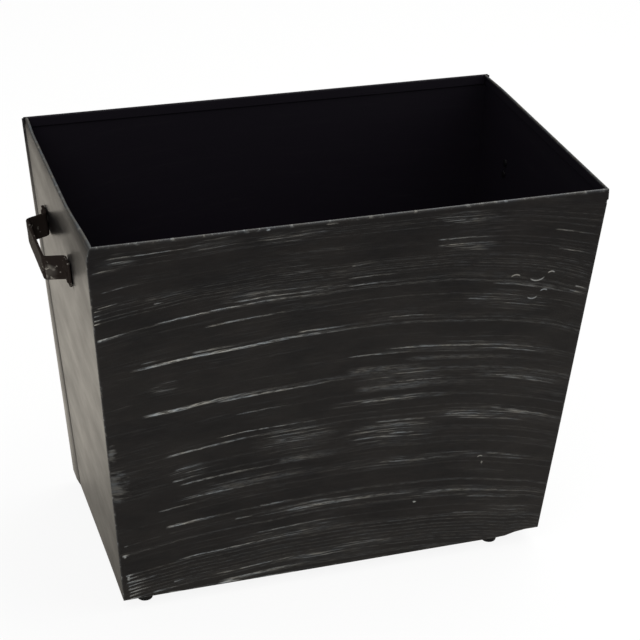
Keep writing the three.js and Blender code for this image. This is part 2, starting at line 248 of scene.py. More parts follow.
FRONT_STROKES = (
    Stroke(-225, -125, 7, 0.6, 0.45),
    Stroke(-223, -197, 11, 0.6, 0.45),
    Stroke(79, 149, 12, 0.8, 0.25),
    Stroke(-235, -213, 16, 0.7, 0.4),
    Stroke(189, 237, 22, 0.8, 0.25),
    Stroke(75, 137, 30, 0.8, 0.37),
    Stroke(-228, -187, 33, 0.7, 0.2),
    Stroke(76, 126, 36, 0.8, 0.41),
    Stroke(195, 232, 38, 0.8, 0.29),
    Stroke(-232, -206, 45, 0.6, 0.35),
    Stroke(-234, -226, 47, 0.7, 0.6),
    Stroke(-4, 18, 48, 0.8, 0.3),
    Stroke(-234, -226, 51, 0.7, 0.5),
    Stroke(-182, -170, 53, 0.7, 0.4),
    Stroke(-234, -225, 55, 0.8, 0.7),
    Stroke(-234, -227, 58, 0.7, 0.6),
    Stroke(-8, 47, 61, 0.8, 0.3),
    Stroke(217, 234, 67, 1.0, 0.45),
    Stroke(-113, 1, 68, 0.8, 0.5),
    Stroke(-8, 47, 69, 0.8, 0.4),
    Stroke(-187, 2, 72, 0.9, 0.65),
    Stroke(-232, -204, 73, 1.2, 0.75),
    Stroke(211, 233, 73, 1.0, 0.33),
    Stroke(132, 234, 75, 1.2, 0.25),
    Stroke(-138, -49, 86, 1.0, 0.5),
    Stroke(109, 150, 91, 1.0, 0.29),
    Stroke(32, 93, 107, 0.7, 0.29),
    Stroke(-194, -174, 109, 1.0, 0.3),
    Stroke(-149, -99, 110, 1.2, 0.35),
    Stroke(-53, 3, 110, 1.0, 0.5),
    Stroke(-206, 37, 114, 1.6, 0.8),
    Stroke(30, 226, 141, 1.0, 0.41),
    Stroke(-4, 76, 146, 0.9, 0.35),
    Stroke(49, 213, 154, 3.0, 0.1),
    Stroke(-4, 89, 162, 4.0, 0.14),
    Stroke(-195, -65, 166, 2.0, 0.75),
    Stroke(-127, 7, 169, 1.2, 0.55),
    Stroke(132, 220, 175, 0.9, 0.25),
    Stroke(44, 116, 178, 0.9, 0.29),
    Stroke(2, 153, 183, 4.0, 0.12),
    Stroke(-108, -49, 187, 1.0, 0.25),
    Stroke(11, 91, 197, 1.3, 0.5),
    Stroke(-126, -13, 209, 0.8, 0.45),
    Stroke(157, 222, 215, 1.2, 0.41),
    Stroke(-176, -60, 216, 1.3, 0.5),
    Stroke(96, 157, 220, 1.3, 0.33),
    Stroke(27, 97, 222, 1.3, 0.29),
    Stroke(-73, 6, 226, 3.0, 0.15),
    Stroke(-164, -134, 234, 1.2, 0.35),
    Stroke(41, 81, 237, 1.0, 0.37),
    Stroke(-166, -134, 246, 1.2, 0.4),
    Stroke(-66, 7, 250, 4.0, 0.15),
    Stroke(-161, -55, 252, 1.2, 0.4),
    Stroke(-135, 6, 266, 3.0, 0.12),
    Stroke(142, 205, 267, 1.3, 0.2),
    Stroke(-154, -65, 270, 1.2, 0.4),
    Stroke(32, 131, 270, 1.1, 0.25),
    Stroke(-179, -137, 277, 1.0, 0.35),
    Stroke(-83, -42, 297, 1.2, 0.35),
    Stroke(-172, -114, 298, 1.6, 0.7),
    Stroke(-211, -206, 306, 1.0, 0.4),
    Stroke(-106, -81, 307, 0.9, 0.3),
    Stroke(-62, 90, 309, 2.0, 0.45),
    Stroke(82, 213, 311, 1.6, 0.29),
    Stroke(-213, -205, 317, 1.6, 0.7),
    Stroke(127, 192, 319, 1.2, 0.2),
    Stroke(-87, 19, 329, 0.9, 0.35),
    Stroke(112, 178, 339, 1.0, 0.2),
    Stroke(-164, 3, 340, 1.0, 0.5),
    Stroke(-210, -201, 342, 1.2, 0.9),
    Stroke(-209, -196, 346, 0.9, 0.8),
    Stroke(-210, -177, 351, 1.4, 0.6),
    Stroke(-208, -190, 355, 0.9, 0.8),
    Stroke(-207, -184, 363, 0.9, 0.8),
    Stroke(-206, -192, 371, 1.0, 0.8),
    Stroke(-208, -187, 359, 1.4, 0.55),
    Stroke(-164, -151, 365, 1.0, 0.4),
    Stroke(-207, -191, 367, 1.2, 0.5),
    Stroke(-129, 12, 368, 0.9, 0.45),
    Stroke(-185, -151, 371, 1.2, 0.4),
    Stroke(-118, -19, 378, 1.8, 0.6),
    Stroke(-185, -119, 380, 1.6, 0.7),
    Stroke(-119, -39, 385, 1.2, 0.45),
)
FRONT_CURLS = (
    Curl(156, 79, 6.5, 0.6, hollow_up=False),
    Curl(178, 88, 10.0, 0.7),
    Curl(191.5, 80, 5.0, 0.7, hollow_up=False),
    Curl(186, 98.5, 5.0, 0.6, hollow_up=False),
    Curl(175, 107, 7.0, 0.6),
    Curl(139.5, 281, 4.0, 0.6, hollow_up=False),
)
FRONT_SMEARS = (
    Smear(-220, 252, 19, 26, 0.19),
    Smear(-221, 215, 6, 12, 0.24),
    Smear(-210, 335, 2, 3.5, 0.8),
    Smear(-207, 361, 2, 4, 0.9),
    Smear(-201, 388, 8, 2.2, 0.8),
    Smear(-163, 388, 16, 2.2, 0.9),
    Smear(-110, 385.5, 15, 2.6, 0.9),
    Smear(-62, 387.5, 36, 1.6, 0.7),
    Smear(75, 325, 2.5, 1.6, 0.9),
    Smear(142, 289, 1.2, 4, 0.4),
    Smear(-81, 1.5, 2.5, 1.6, 0.8),
    Smear(-24, 3, 8, 1.4, 0.4),
)


@dataclass(frozen=True)
class DryBrushedPaint:
    """Satin black enamel on one wall, dry-brushed with silver.

    The enamel is nearly black head-on, and its smooth film mirrors a pale floor at a grazing angle.
    The silver lies on it as hairlines in long low arcs, as a hand swings a nearly dry brush.
    """

    seed: float  # moves the loose pattern, so that no two walls are alike
    strokes: tuple[Stroke, ...] = ()
    sweeps: tuple[Sweep, ...] = ()
    curls: tuple[Curl, ...] = ()
    smears: tuple[Smear, ...] = ()
    loose: float = 0.3  # strength of the hairlines that lie all over the wall
    rubbed: float = 0.16  # silver that lies evenly on the edges
    nicks: float = 0.8  # silver on their brightest spots
    rim_gloss: float = 0.01  # share of its gloss that the film has kept at the rim
    enamel: str = "#0f0e11"
    enamel_brown: str = "#151213"
    inside: str = "#0e0a12"
    silver: str = "#a7a49b"
    silver_cool: str = "#9aa0a3"
    film_ior: float = 1.5
    film_level: float = 0.5
    inside_level: float = 0.15  # soot and dust leave the inside no shine
    dull_band: float = 150.0  # mm below the rim, where hands and logs have dulled the film
    film_roughness: float = 0.33
    inside_roughness: float = 0.6
    silver_roughness: float = 0.5
    hair_width: float = 2.0  # mm, a line of a few bristles
    hair_length: float = 80.0  # mm
    dash_width: float = 1.2  # mm, where a line skips over the film's grain
    dash_length: float = 14.0  # mm
    swathe_width: float = 13.0  # mm, one touch of the brush
    swathe_length: float = 110.0  # mm
    arc_rise: float = 3.8e-4  # per mm, how a stroke falls to both ends
    arc_drop: float = 1.4e-6  # per mm squared, how it falls faster on the right
    flat_near_rim: float = 0.3  # share of the arc's bend that is left at the rim
    flat_until: float = 100.0  # mm below the rim
    wander: float = 3.0  # mm, how far a stroke strays from its arc to both sides
    wander_length: float = 90.0  # mm
    orange_peel: float = 3.0  # mm, the sprayed film's own waves

    def make(self, name: str) -> Material:
        """Makes the wall's material.

        Args:
            name: The material's name.

        Returns:
            The material.
        """
        material, add, shader = new_material(name)
        Brushwork(self, add).dress(shader)
        return material


class Brushwork:
    """The nodes of one wall's paint, with sizes in millimetres."""

    def __init__(self, paint: DryBrushedPaint, add: Callable) -> None:
        """Adds the places on the wall: along it, below its rim, and the height of the arc at a point.

        Args:
            paint: The wall's paint.
            add: Adds a node to its material.
        """
        self.paint, self.add = paint, add
        sheet = add("UVMap", uv_map=SHEET_MAP)
        split = add("SeparateXYZ", {0: sheet})
        self.along = add("Math", {0: split.outputs[0], 1: 1 / MILLIMETRE}, operation="MULTIPLY")
        self.below = add("Math", {0: split.outputs[1], 1: 1 / MILLIMETRE}, operation="MULTIPLY")
        square = add("Math", {0: self.along, 1: 2.0}, operation="POWER")
        rise = add("Math", {0: square, 1: paint.arc_rise}, operation="MULTIPLY")
        right = add("Math", {0: self.along, 1: 0.0}, operation="MAXIMUM")
        cube = add("Math", {0: right, 1: 3.0}, operation="POWER")
        fall = add("Math", {0: cube, 1: paint.arc_drop, 2: rise}, operation="MULTIPLY_ADD")
        flatter = add("MapRange", {0: self.below, 1: 0.0, 2: paint.flat_until, 3: paint.flat_near_rim,
                                   4: 1.0})
        bend = add("Math", {0: fall, 1: flatter}, operation="MULTIPLY")
        spot = add("CombineXYZ", {0: self.along, 1: self.below, 2: paint.seed})
        stray = add("TexNoise", {"Vector": spot, "Scale": 1 / paint.wander_length, "Detail": 1.0})
        swing = add("Math", {0: stray, 1: 2 * paint.wander, 2: -paint.wander}, operation="MULTIPLY_ADD")
        level = add("Math", {0: self.below, 1: bend}, operation="SUBTRACT")
        self.arc = add("Math", {0: level, 1: swing}, operation="ADD")

    def stretched(self, across: Node, length: float, width: float, shift: float, detail: float) -> Node:
        """Adds noise that is drawn out along the strokes.

        Args:
            across: Distance across them: the arc's height, or the distance below the rim.
            length: The grain's length.
            width: The grain's width.
            shift: Where the noise is cut beyond the wall's seed, so that each use has its own.
            detail: How many finer octaves it has.

        Returns:
            The noise.
        """
        long_way = self.add("Math", {0: self.along, 1: 1 / length}, operation="MULTIPLY")
        short_way = self.add("Math", {0: across, 1: 1 / width}, operation="MULTIPLY")
        place = self.add("CombineXYZ", {0: long_way, 1: short_way, 2: self.paint.seed + shift})
        return self.add("TexNoise", {"Vector": place, "Scale": 1.0, "Detail": detail, "Roughness": 0.6})

    def hairlines(self) -> Node:
        """Adds the lines of single bristles.

        Returns:
            1 on a hairline and 0 between them.
        """
        paint = self.paint
        lines = self.stretched(self.arc, paint.hair_length, paint.hair_width, 3.1, 1.5)
        line = self.add("MapRange", {0: lines, 1: 0.55, 2: 0.61, 3: 0.0, 4: 1.0},
                        interpolation_type="SMOOTHSTEP")
        skips = self.stretched(self.arc, paint.dash_length, paint.dash_width, 5.9, 2.0)
        dash = self.add("MapRange", {0: skips, 1: 0.38, 2: 0.62, 3: 0.15, 4: 1.0})
        return self.add("Math", {0: line, 1: dash}, operation="MULTIPLY")

    def loose_silver(self, hair: Node) -> Node:
        """Adds the hairlines and powdery grain that lie all over the wall in swathes, denser in the sweeps.

        Args:
            hair: The hairlines.

        Returns:
            The amount of silver.
        """
        paint, add = self.paint, self.add
        touch = self.stretched(self.arc, paint.swathe_length, paint.swathe_width, 11.7, 1.5)
        swathe = add("MapRange", {0: touch, 1: 0.40, 2: 0.72, 3: 0.0, 4: 1.0})
        dense = add("Math", {0: swathe, 1: paint.loose}, operation="MULTIPLY")
        if paint.sweeps:
            twice = self.highest(paint.sweeps, self.three_sweeps)
            patchy = add("Math", {0: swathe, 1: 0.5, 2: 0.7}, operation="MULTIPLY_ADD")
            more = add("Math", {0: twice, 1: patchy}, operation="MULTIPLY")
            dense = add("Math", {0: dense, 1: more}, operation="MAXIMUM")
        grain = self.stretched(self.arc, 0.8 * paint.dash_length, 0.7 * paint.dash_width, 17.3, 1.0)
        powder = add("MapRange", {0: grain, 1: 0.40, 2: 0.70, 3: 0.02, 4: 0.16})
        filled = add("Math", {0: hair, 1: powder}, operation="MAXIMUM")
        silver = add("Math", {0: filled, 1: dense}, operation="MULTIPLY")
        return add("Math", {0: powder, 1: 0.05, 2: silver}, operation="MULTIPLY_ADD")

    def highest(self, marks: tuple, three_of: Callable) -> Node:
        """Adds marks of a kind, three at a time, each on an axis of its own, and keeps the strongest.

        Args:
            marks: The marks.
            three_of: Adds three of them, from the distance along and the arc's height on all axes.

        Returns:
            How strong they are.
        """
        along = self.add("CombineXYZ", {axis: self.along for axis in range(3)})
        arc = self.add("CombineXYZ", {axis: self.arc for axis in range(3)})
        most = self.add("CombineXYZ")
        for first in range(0, len(marks), 3):
            three = (marks[first:first + 3] + marks[-2:])[:3]
            most = self.add("VectorMath", {0: most, 1: three_of(along, arc, three)}, operation="MAXIMUM")
        split = self.add("SeparateXYZ", {0: most})
        pair = self.add("Math", {0: split.outputs[0], 1: split.outputs[1]}, operation="MAXIMUM")
        return self.add("Math", {0: pair, 1: split.outputs[2]}, operation="MAXIMUM")

    def three_sweeps(self, along: Node, arc: Node, three: tuple[Sweep, ...]) -> NodeSocket:
        """Adds three ovals of denser hairlines.

        Args:
            along: Distance along the wall, on all axes.
            arc: The arc's height, on all axes.
            three: The ovals.

        Returns:
            How dense the hairlines are.
        """
        long_way = self.add("VectorMath", {0: along, 1: [1 / one.half_length for one in three],
                                           2: [-one.along / one.half_length for one in three]},
                            operation="MULTIPLY_ADD")
        short_way = self.add("VectorMath", {0: arc, 1: [1 / one.half_height for one in three],
                                            2: [-one.level / one.half_height for one in three]},
                             operation="MULTIPLY_ADD")
        square = self.add("VectorMath", {0: long_way, 1: long_way}, operation="MULTIPLY")
        reach = self.add("VectorMath", {0: short_way, 1: short_way, 2: square}, operation="MULTIPLY_ADD")
        oval = self.add("MapRange", {VECTOR: reach, FROM_LOW: (0, 0, 0), FROM_HIGH: (1.3, 1.3, 1.3),
                                     TO_LOW: [one.strength for one in three], TO_HIGH: (0, 0, 0)},
                        data_type="FLOAT_VECTOR", interpolation_type="SMOOTHSTEP")
        return oval.outputs[MAPPED]

    def three_strokes(self, along: Node, arc: Node, three: tuple[Stroke, ...]) -> Node:
        """Adds the bodies of three strokes, each of which starts quickly and runs dry slowly.

        Args:
            along: Distance along the wall, on all axes.
            arc: The arc's height, on all axes.
            three: The strokes.

        Returns:
            The amount of silver.
        """
        smooth = {"data_type": "FLOAT_VECTOR", "interpolation_type": "SMOOTHSTEP"}
        wet_share, dry_share, dry_end = 0.12, 0.25, 0.1
        core_share, edge_share = 0.2, 1.2  # of a stroke's width
        wet = self.add("MapRange", {VECTOR: along, FROM_LOW: [one.start for one in three],
                                    FROM_HIGH: [one.start + wet_share * (one.end - one.start) for one in three],
                                    TO_LOW: (0, 0, 0), TO_HIGH: [one.strength for one in three]}, **smooth)
        dry = self.add("MapRange", {VECTOR: along,
                                    FROM_LOW: [one.start + dry_share * (one.end - one.start) for one in three],
                                    FROM_HIGH: [one.end for one in three],
                                    TO_LOW: (1, 1, 1), TO_HIGH: [dry_end] * 3}, **smooth)
        away = self.add("VectorMath", {0: arc, 1: [one.level for one in three]}, operation="SUBTRACT")
        distance = self.add("VectorMath", {0: away}, operation="ABSOLUTE")
        across = self.add("MapRange", {VECTOR: distance, FROM_LOW: [core_share * one.width for one in three],
                                       FROM_HIGH: [edge_share * one.width for one in three],
                                       TO_LOW: (1, 1, 1), TO_HIGH: (0, 0, 0)}, **smooth)
        length = self.add("VectorMath", {0: wet.outputs[MAPPED], 1: dry.outputs[MAPPED]},
                          operation="MULTIPLY")
        return self.add("VectorMath", {0: length, 1: across.outputs[MAPPED]}, operation="MULTIPLY")

    def stroke_marks(self) -> Node:
        """Adds the strokes that stand out, broken up into hairlines.

        Returns:
            The amount of silver.
        """
        paint = self.paint
        highest = self.highest(paint.strokes, self.three_strokes)
        bristles = self.stretched(self.arc, 0.7 * paint.dash_length, 0.5 * paint.hair_width, 61.0, 3.0)
        broken = self.add("MapRange", {0: bristles, 1: 0.43, 2: 0.56, 3: 0.2, 4: 1.2})
        return self.add("Math", {0: highest, 1: broken}, operation="MULTIPLY")

    def curl(self, curl: Curl) -> Node:
        """Adds a curled mark: a piece of a thin ring.

        Args:
            curl: The mark.

        Returns:
            The amount of silver.
        """
        line_core, line_width = 0.2, 0.9
        middle = curl.below_rim - curl.radius if curl.hollow_up else curl.below_rim + curl.radius
        place = self.add("CombineXYZ", {0: self.along, 1: self.below})
        reach = self.add("VectorMath", {0: place, 1: (curl.along, middle, 0)}, operation="DISTANCE")
        ring = self.add("Math", {0: reach.outputs["Value"], 1: curl.radius}, operation="SUBTRACT")
        distance = self.add("Math", {0: ring}, operation="ABSOLUTE")
        line = self.add("MapRange", {0: distance, 1: line_core, 2: line_width, 3: curl.strength, 4: 0.0})
        near = self.add("VectorMath", {0: place, 1: (curl.along, curl.below_rim, 0)}, operation="DISTANCE")
        window = self.add("MapRange", {0: near.outputs["Value"], 1: 0.5 * curl.radius, 2: 0.8 * curl.radius,
                                       3: 1.0, 4: 0.0})
        return self.add("Math", {0: line, 1: window}, operation="MULTIPLY")

    def smear(self, smear: Smear) -> Node:
        """Adds a cloudy patch.

        Args:
            smear: The patch.

        Returns:
            The amount of silver.
        """
        cloud_length, cloud_width, raggedness = 13.0, 3.0, 2.6
        place = self.add("CombineXYZ", {0: self.along, 1: self.below})
        centred = self.add("VectorMath", {0: place, 1: (smear.along, smear.below_rim, 0)},
                           operation="SUBTRACT")
        shaped = self.add("VectorMath", {0: centred, 1: (1 / smear.half_length, 1 / smear.half_height, 0)},
                          operation="MULTIPLY")
        reach = self.add("VectorMath", {0: shaped}, operation="LENGTH")
        cloud = self.stretched(self.below, cloud_length, cloud_width, 23.0, 4.0)
        ragged = self.add("Math", {0: cloud, 1: raggedness, 2: reach.outputs["Value"]},
                          operation="MULTIPLY_ADD")
        return self.add("MapRange", {0: ragged, 1: 1.3, 2: 2.15, 3: smear.strength, 4: 0.0},
                        interpolation_type="SMOOTHSTEP")

    def worn_edges(self) -> Node:
        """Adds the rubbed line along the folds and cut edges, with brighter nicks.

        Returns:
            The amount of silver.
        """
        nick_size = 7.0
        edge = self.add("Attribute", attribute_name=WEAR_AND_GLINT)
        patches = self.stretched(self.below, nick_size, nick_size, 31.0, 4.0)
        spotted = self.add("MapRange", {0: patches, 1: 0.54, 2: 0.72, 3: self.paint.rubbed,
                                        4: self.paint.nicks})
        return self.add("Math", {0: edge.outputs["Fac"], 1: spotted}, operation="MULTIPLY")

    def all_silver(self) -> Node:
        """Adds all the marks, one on the other.

        Returns:
            The amount of silver.
        """
        paint = self.paint
        amount = self.loose_silver(self.hairlines())
        marks = [self.worn_edges()]
        if paint.strokes:
            marks.append(self.stroke_marks())
        for mark in marks:
            amount = self.add("Math", {0: amount, 1: mark}, operation="MAXIMUM")
        small = [partial(self.curl, curl) for curl in paint.curls]
        small += [partial(self.smear, smear) for smear in paint.smears]
        for add_mark in small:
            amount = self.add("Math", {0: amount, 1: add_mark()}, operation="MAXIMUM")
        return amount

    def dress(self, shader: Node) -> None:
        """Links the enamel and the silver to the shader.

        Args:
            shader: The shader.
        """
        paint, add = self.paint, self.add
        amount = self.all_silver()
        outside = add("Attribute", attribute_name=OUTSIDE).outputs["Fac"]
        brushed = add("MapRange", {0: outside, 1: 0.0, 2: 1.0, 3: 0.04, 4: 1.0})
        silver = add("Math", {0: amount, 1: brushed}, operation="MULTIPLY", use_clamp=True)
        cloud = self.stretched(self.below, 70.0, 30.0, 41.0, 3.0)
        warmth = add("MapRange", {0: cloud, 1: 0.35, 2: 0.65, 3: 0.0, 4: 1.0})
        enamel = add("Mix", {0: warmth, MIX_A: linear(paint.enamel), MIX_B: linear(paint.enamel_brown)},
                     data_type="RGBA")
        shade = add("Mix", {0: outside, MIX_A: linear(paint.inside), MIX_B: enamel.outputs[MIXED]},
                    data_type="RGBA")
        tint = self.stretched(self.below, 22.0, 7.0, 47.0, 2.0)
        cool = add("MapRange", {0: tint, 1: 0.4, 2: 0.62, 3: 0.0, 4: 1.0})
        metal = add("Mix", {0: cool, MIX_A: linear(paint.silver), MIX_B: linear(paint.silver_cool)},
                    data_type="RGBA")
        colour = add("Mix", {0: silver, MIX_A: shade.outputs[MIXED], MIX_B: metal.outputs[MIXED]},
                     data_type="RGBA")
        film = add("MapRange", {0: cloud, 1: 0.3, 2: 0.7, 3: paint.film_roughness - 0.05,
                                4: paint.film_roughness + 0.06})
        matt = add("Mix", {0: outside, 2: paint.inside_roughness, 3: film})
        rough = add("Mix", {0: silver, 2: matt, 3: paint.silver_roughness})
        handled = add("MapRange", {0: self.below, 1: 0.0, 2: paint.dull_band, 3: paint.rim_gloss, 4: 0.96})
        clouded = add("MapRange", {0: cloud, 1: 0.3, 2: 0.7, 3: 0.82 * paint.film_level,
                                   4: 1.12 * paint.film_level})
        gloss = add("Math", {0: handled, 1: clouded}, operation="MULTIPLY")
        level = add("Mix", {0: outside, 2: paint.inside_level, 3: gloss})
        peel = self.stretched(self.below, paint.orange_peel, paint.orange_peel, 53.0, 2.0)
        bump = add("Bump", {"Strength": 0.10, "Distance": 0.1 * MILLIMETRE, "Height": peel})
        connect(shader, {"Specular IOR Level": level, "Base Color": colour.outputs[MIXED], "Roughness": rough,
                         "Normal": bump, "IOR": paint.film_ior})


@dataclass(frozen=True)
class HammeredIron:
    """Wrought bar with thin black paint, rubbed to bare metal on its bends and edges.

    The paint is brown-black and satin, the bare metal on bends and edges glints in small facets. On each leg's
    outer face a patch of iron rubbed bare carries a painted highlight: the bright iron colour lies on the
    hammer facets' tops, where glints fall.
    """

    paint: str = "#2a2421"
    tail_shade: str = "#0b090c"  # painted shade: the rivets' tails inside the box, made near black as they lie in the box's shade
    iron: str = "#b9b3a9"
    bare_metallic: float = 0.4  # rust dust in the hammer marks keeps the bare spots from being a mirror
    facet: float = 5.0  # mm, one hammer mark
    patch: float = 4.6  # mm, where the paint has come off
    grain: float = 0.6  # mm, mill scale

    def make(self, name: str) -> Material:
        """Makes the finish.

        Args:
            name: The material's name.

        Returns:
            The material.
        """
        material, add, shader = new_material(name)
        place = add("TexCoord").outputs["Object"]
        facets = add("TexVoronoi", {"Vector": place, "Scale": 1 / (self.facet * MILLIMETRE)},
                     feature="SMOOTH_F1")
        scale = add("TexNoise", {"Vector": place, "Scale": 1 / (self.grain * MILLIMETRE), "Detail": 3.0})
        patches = add("TexNoise", {"Vector": place, "Scale": 1 / (self.patch * MILLIMETRE), "Detail": 2.0})
        edge = add("Attribute", attribute_name=WEAR_AND_GLINT).outputs["Fac"]
        outside = add("Attribute", attribute_name=OUTSIDE).outputs["Fac"]
        spread = add("Math", {0: patches, 1: 5.0, 2: -3.35}, operation="MULTIPLY_ADD")
        thinned = add("Math", {0: edge, 1: 1.0}, operation="MINIMUM")
        worn = add("Math", {0: thinned, 1: 0.45, 2: spread}, operation="MULTIPLY_ADD")
        rubbed = add("MapRange", {0: worn, 1: 0.05, 2: 0.8, 3: 0.0, 4: 0.8}, interpolation_type="SMOOTHSTEP")
        # iron rubbed bare on each leg's outer face, with a painted highlight: the facets' tops take the bright
        # iron colour where glints fall
        bare_glint = add("MapRange", {0: edge, 1: 1.0, 2: 2.2, 3: 0.0, 4: 0.85})
        glint_tops = add("MapRange", {0: facets, 1: 0.18, 2: 0.42, 3: 1.0, 4: 0.14})
        glint_spots = add("Math", {0: bare_glint, 1: glint_tops}, operation="MULTIPLY")
        shiny = add("Math", {0: rubbed, 1: glint_spots}, operation="MAXIMUM")
        bare = add("Math", {0: shiny, 1: outside}, operation="MULTIPLY")
        # painted shade: the rivets' tails inside the box take the near-black colour
        coat = add("Mix", {0: outside, MIX_A: linear(self.tail_shade), MIX_B: linear(self.paint)}, data_type="RGBA")
        colour = add("Mix", {0: bare, MIX_A: coat.outputs[MIXED], MIX_B: linear(self.iron)}, data_type="RGBA")
        metallic = add("Math", {0: bare, 1: self.bare_metallic}, operation="MULTIPLY")
        rough = add("MapRange", {0: scale, 1: 0.3, 2: 0.7, 3: 0.38, 4: 0.55})
        level = add("MapRange", {0: outside, 1: 0.0, 2: 1.0, 3: 0.1, 4: 0.004})
        height = add("Math", {0: scale, 1: 0.15, 2: facets}, operation="MULTIPLY_ADD")
        bump = add("Bump", {"Strength": 0.5, "Distance": 0.5 * MILLIMETRE, "Height": height})
        connect(shader, {"Specular IOR Level": level, "Base Color": colour.outputs[MIXED],
                         "Metallic": metallic, "Roughness": rough, "Normal": bump})
        return material


@dataclass(frozen=True)
class MouldedRubber:
    """Black nitrile rubber as it leaves the mould: matt, with a fine grain and a little dust."""

    rubber: str = "#151516"
    dust: str = "#2b2a28"
    grain: float = 0.5  # mm
    dust_patch: float = 7.0  # mm

    def make(self, name: str) -> Material:
        """Makes the finish.

        Args:
            name: The material's name.

        Returns:
            The material.
        """
        material, add, shader = new_material(name)
        place = add("TexCoord").outputs["Object"]
        grain = add("TexNoise", {"Vector": place, "Scale": 1 / (self.grain * MILLIMETRE), "Detail": 2.0})
        cloud = add("TexNoise", {"Vector": place, "Scale": 1 / (self.dust_patch * MILLIMETRE), "Detail": 3.0})
        dusty = add("MapRange", {0: cloud, 1: 0.45, 2: 0.75, 3: 0.0, 4: 0.6})
        colour = add("Mix", {0: dusty, MIX_A: linear(self.rubber), MIX_B: linear(self.dust)},
                     data_type="RGBA")
        rough = add("MapRange", {0: cloud, 1: 0.3, 2: 0.7, 3: 0.7, 4: 0.9})
        bump = add("Bump", {"Strength": 0.4, "Distance": 0.1 * MILLIMETRE, "Height": grain})
        connect(shader, {"Base Color": colour.outputs[MIXED], "Roughness": rough, "Normal": bump})
        return material


@dataclass(frozen=True)
class ZincPlate:
    """Bright zinc plate on small steel fasteners: pale metal, clouded by its passivation."""

    zinc: str = "#a8aaa9"
    cloudy: str = "#8b8a80"
    cloud: float = 2.5  # mm

    def make(self, name: str) -> Material:
        """Makes the finish.

        Args:
            name: The material's name.

        Returns:
            The material.
        """
        material, add, shader = new_material(name)
        place = add("TexCoord").outputs["Object"]
        cloud = add("TexNoise", {"Vector": place, "Scale": 1 / (self.cloud * MILLIMETRE), "Detail": 3.0})
        colour = add("Mix", {0: cloud, MIX_A: linear(self.zinc), MIX_B: linear(self.cloudy)},
                     data_type="RGBA")
        rough = add("MapRange", {0: cloud, 1: 0.3, 2: 0.7, 3: 0.28, 4: 0.5})
        bump = add("Bump", {"Strength": 0.2, "Distance": 0.05 * MILLIMETRE, "Height": cloud})
        connect(shader, {"Base Color": colour.outputs[MIXED], "Roughness": rough, "Normal": bump,
                         "Metallic": 1.0})
        return material


@dataclass(frozen=True)
class BoxForm:
    """The box's outside and its sheet, as the frame's solids have them, in metres."""

    rim_length: float = 0.480
    rim_depth: float = 0.300
    base_length: float = 0.424
    base_depth: float = 0.240
    height: float = 0.400
    foot_height: float = 0.013
    sheet: float = 0.0015
    hem: float = 0.010
    hem_relief: float = 0.002
    corner_flange: float = 0.012
    flap_at_rim: float = 0.003
    floor_flange: float = 0.015
    fit: float = 0.00005  # seam between two welded sheets
    bent_up: float = 0.0048  # how far the front right lower corner is knocked up
    bent_from: float = 0.174  # from the middle
    bent_to: float = 0.192
    bent_depth: float = 0.012  # how far back it goes
    bent_height: float = 0.120

    @property
    def wall_height(self) -> float:
        """Height of a wall, from its lower edge to the rim."""
        return self.height - self.foot_height

    def run(self, is_end: bool) -> float:
        """How far a wall leans out, from its lower edge to the rim."""
        return (self.rim_length - self.base_length if is_end else self.rim_depth - self.base_depth) / 2

    def slope(self, is_end: bool) -> float:
        """Length of a wall down its slope."""
        return math.hypot(self.run(is_end), self.wall_height)

    def half_width(self, is_end: bool, share_down: float) -> float:
        """Half of a wall's full width at a share of its slope, from the rim at 0 to the lower edge at 1."""
        rim, base = (self.rim_depth, self.base_depth) if is_end else (self.rim_length, self.base_length)
        return (rim + (base - rim) * share_down) / 2

    def halves(self, z: float) -> tuple[float, float]:
        """Half the box's outside length and depth at a height."""
        share = 1 - (z - self.foot_height) / self.wall_height
        return self.half_width(False, share), self.half_width(True, share)

    def flap_width(self, z: float) -> float:
        """Width of the back's flap on an end wall at a height: its blank is a rectangle."""
        return self.flap_at_rim + self.rim_length / 2 - self.halves(z)[0]

    def knock_up(self, mesh: Mesh) -> None:
        """Bends a sheet up where a knock bent the box's front right lower corner.

        Args:
            mesh: The sheet's mesh.
        """
        for vert in mesh.vertices:
            right = (vert.co.x - self.bent_from) / (self.bent_to - self.bent_from)
            front = (-vert.co.y - self.base_depth / 2 + self.bent_depth) / self.bent_depth
            low = 1 - (vert.co.z - self.foot_height) / self.bent_height
            share = 1.0
            for part in (right, front, low):
                share *= min(max(part, 0.0), 1.0)
            vert.co.z += self.bent_up * share

    def place(self, face: Face) -> Matrix:
        """Frame of a wall's outside.

        Args:
            face: The wall.

        Returns:
            A matrix whose X runs along the rim, to the right as seen from outside, whose Y runs down the
            slope and whose Z goes inwards, from the middle of the rim.
        """
        tilt = math.atan2(self.run(face.is_end), self.wall_height)
        if face.is_end:
            along = Vector((0, 1, 0))
            down = Vector((-math.sin(tilt), 0, -math.cos(tilt)))
            rim = Vector((self.rim_length / 2, 0, self.height))
        else:
            along = Vector((1, 0, 0))
            down = Vector((0, math.sin(tilt), -math.cos(tilt)))
            rim = Vector((0, -self.rim_depth / 2, self.height))
        matrix = Matrix((along, down, along.cross(down))).transposed().to_4x4()
        matrix.translation = rim
        return Matrix.Rotation(face.turn, 4, "Z") @ matrix


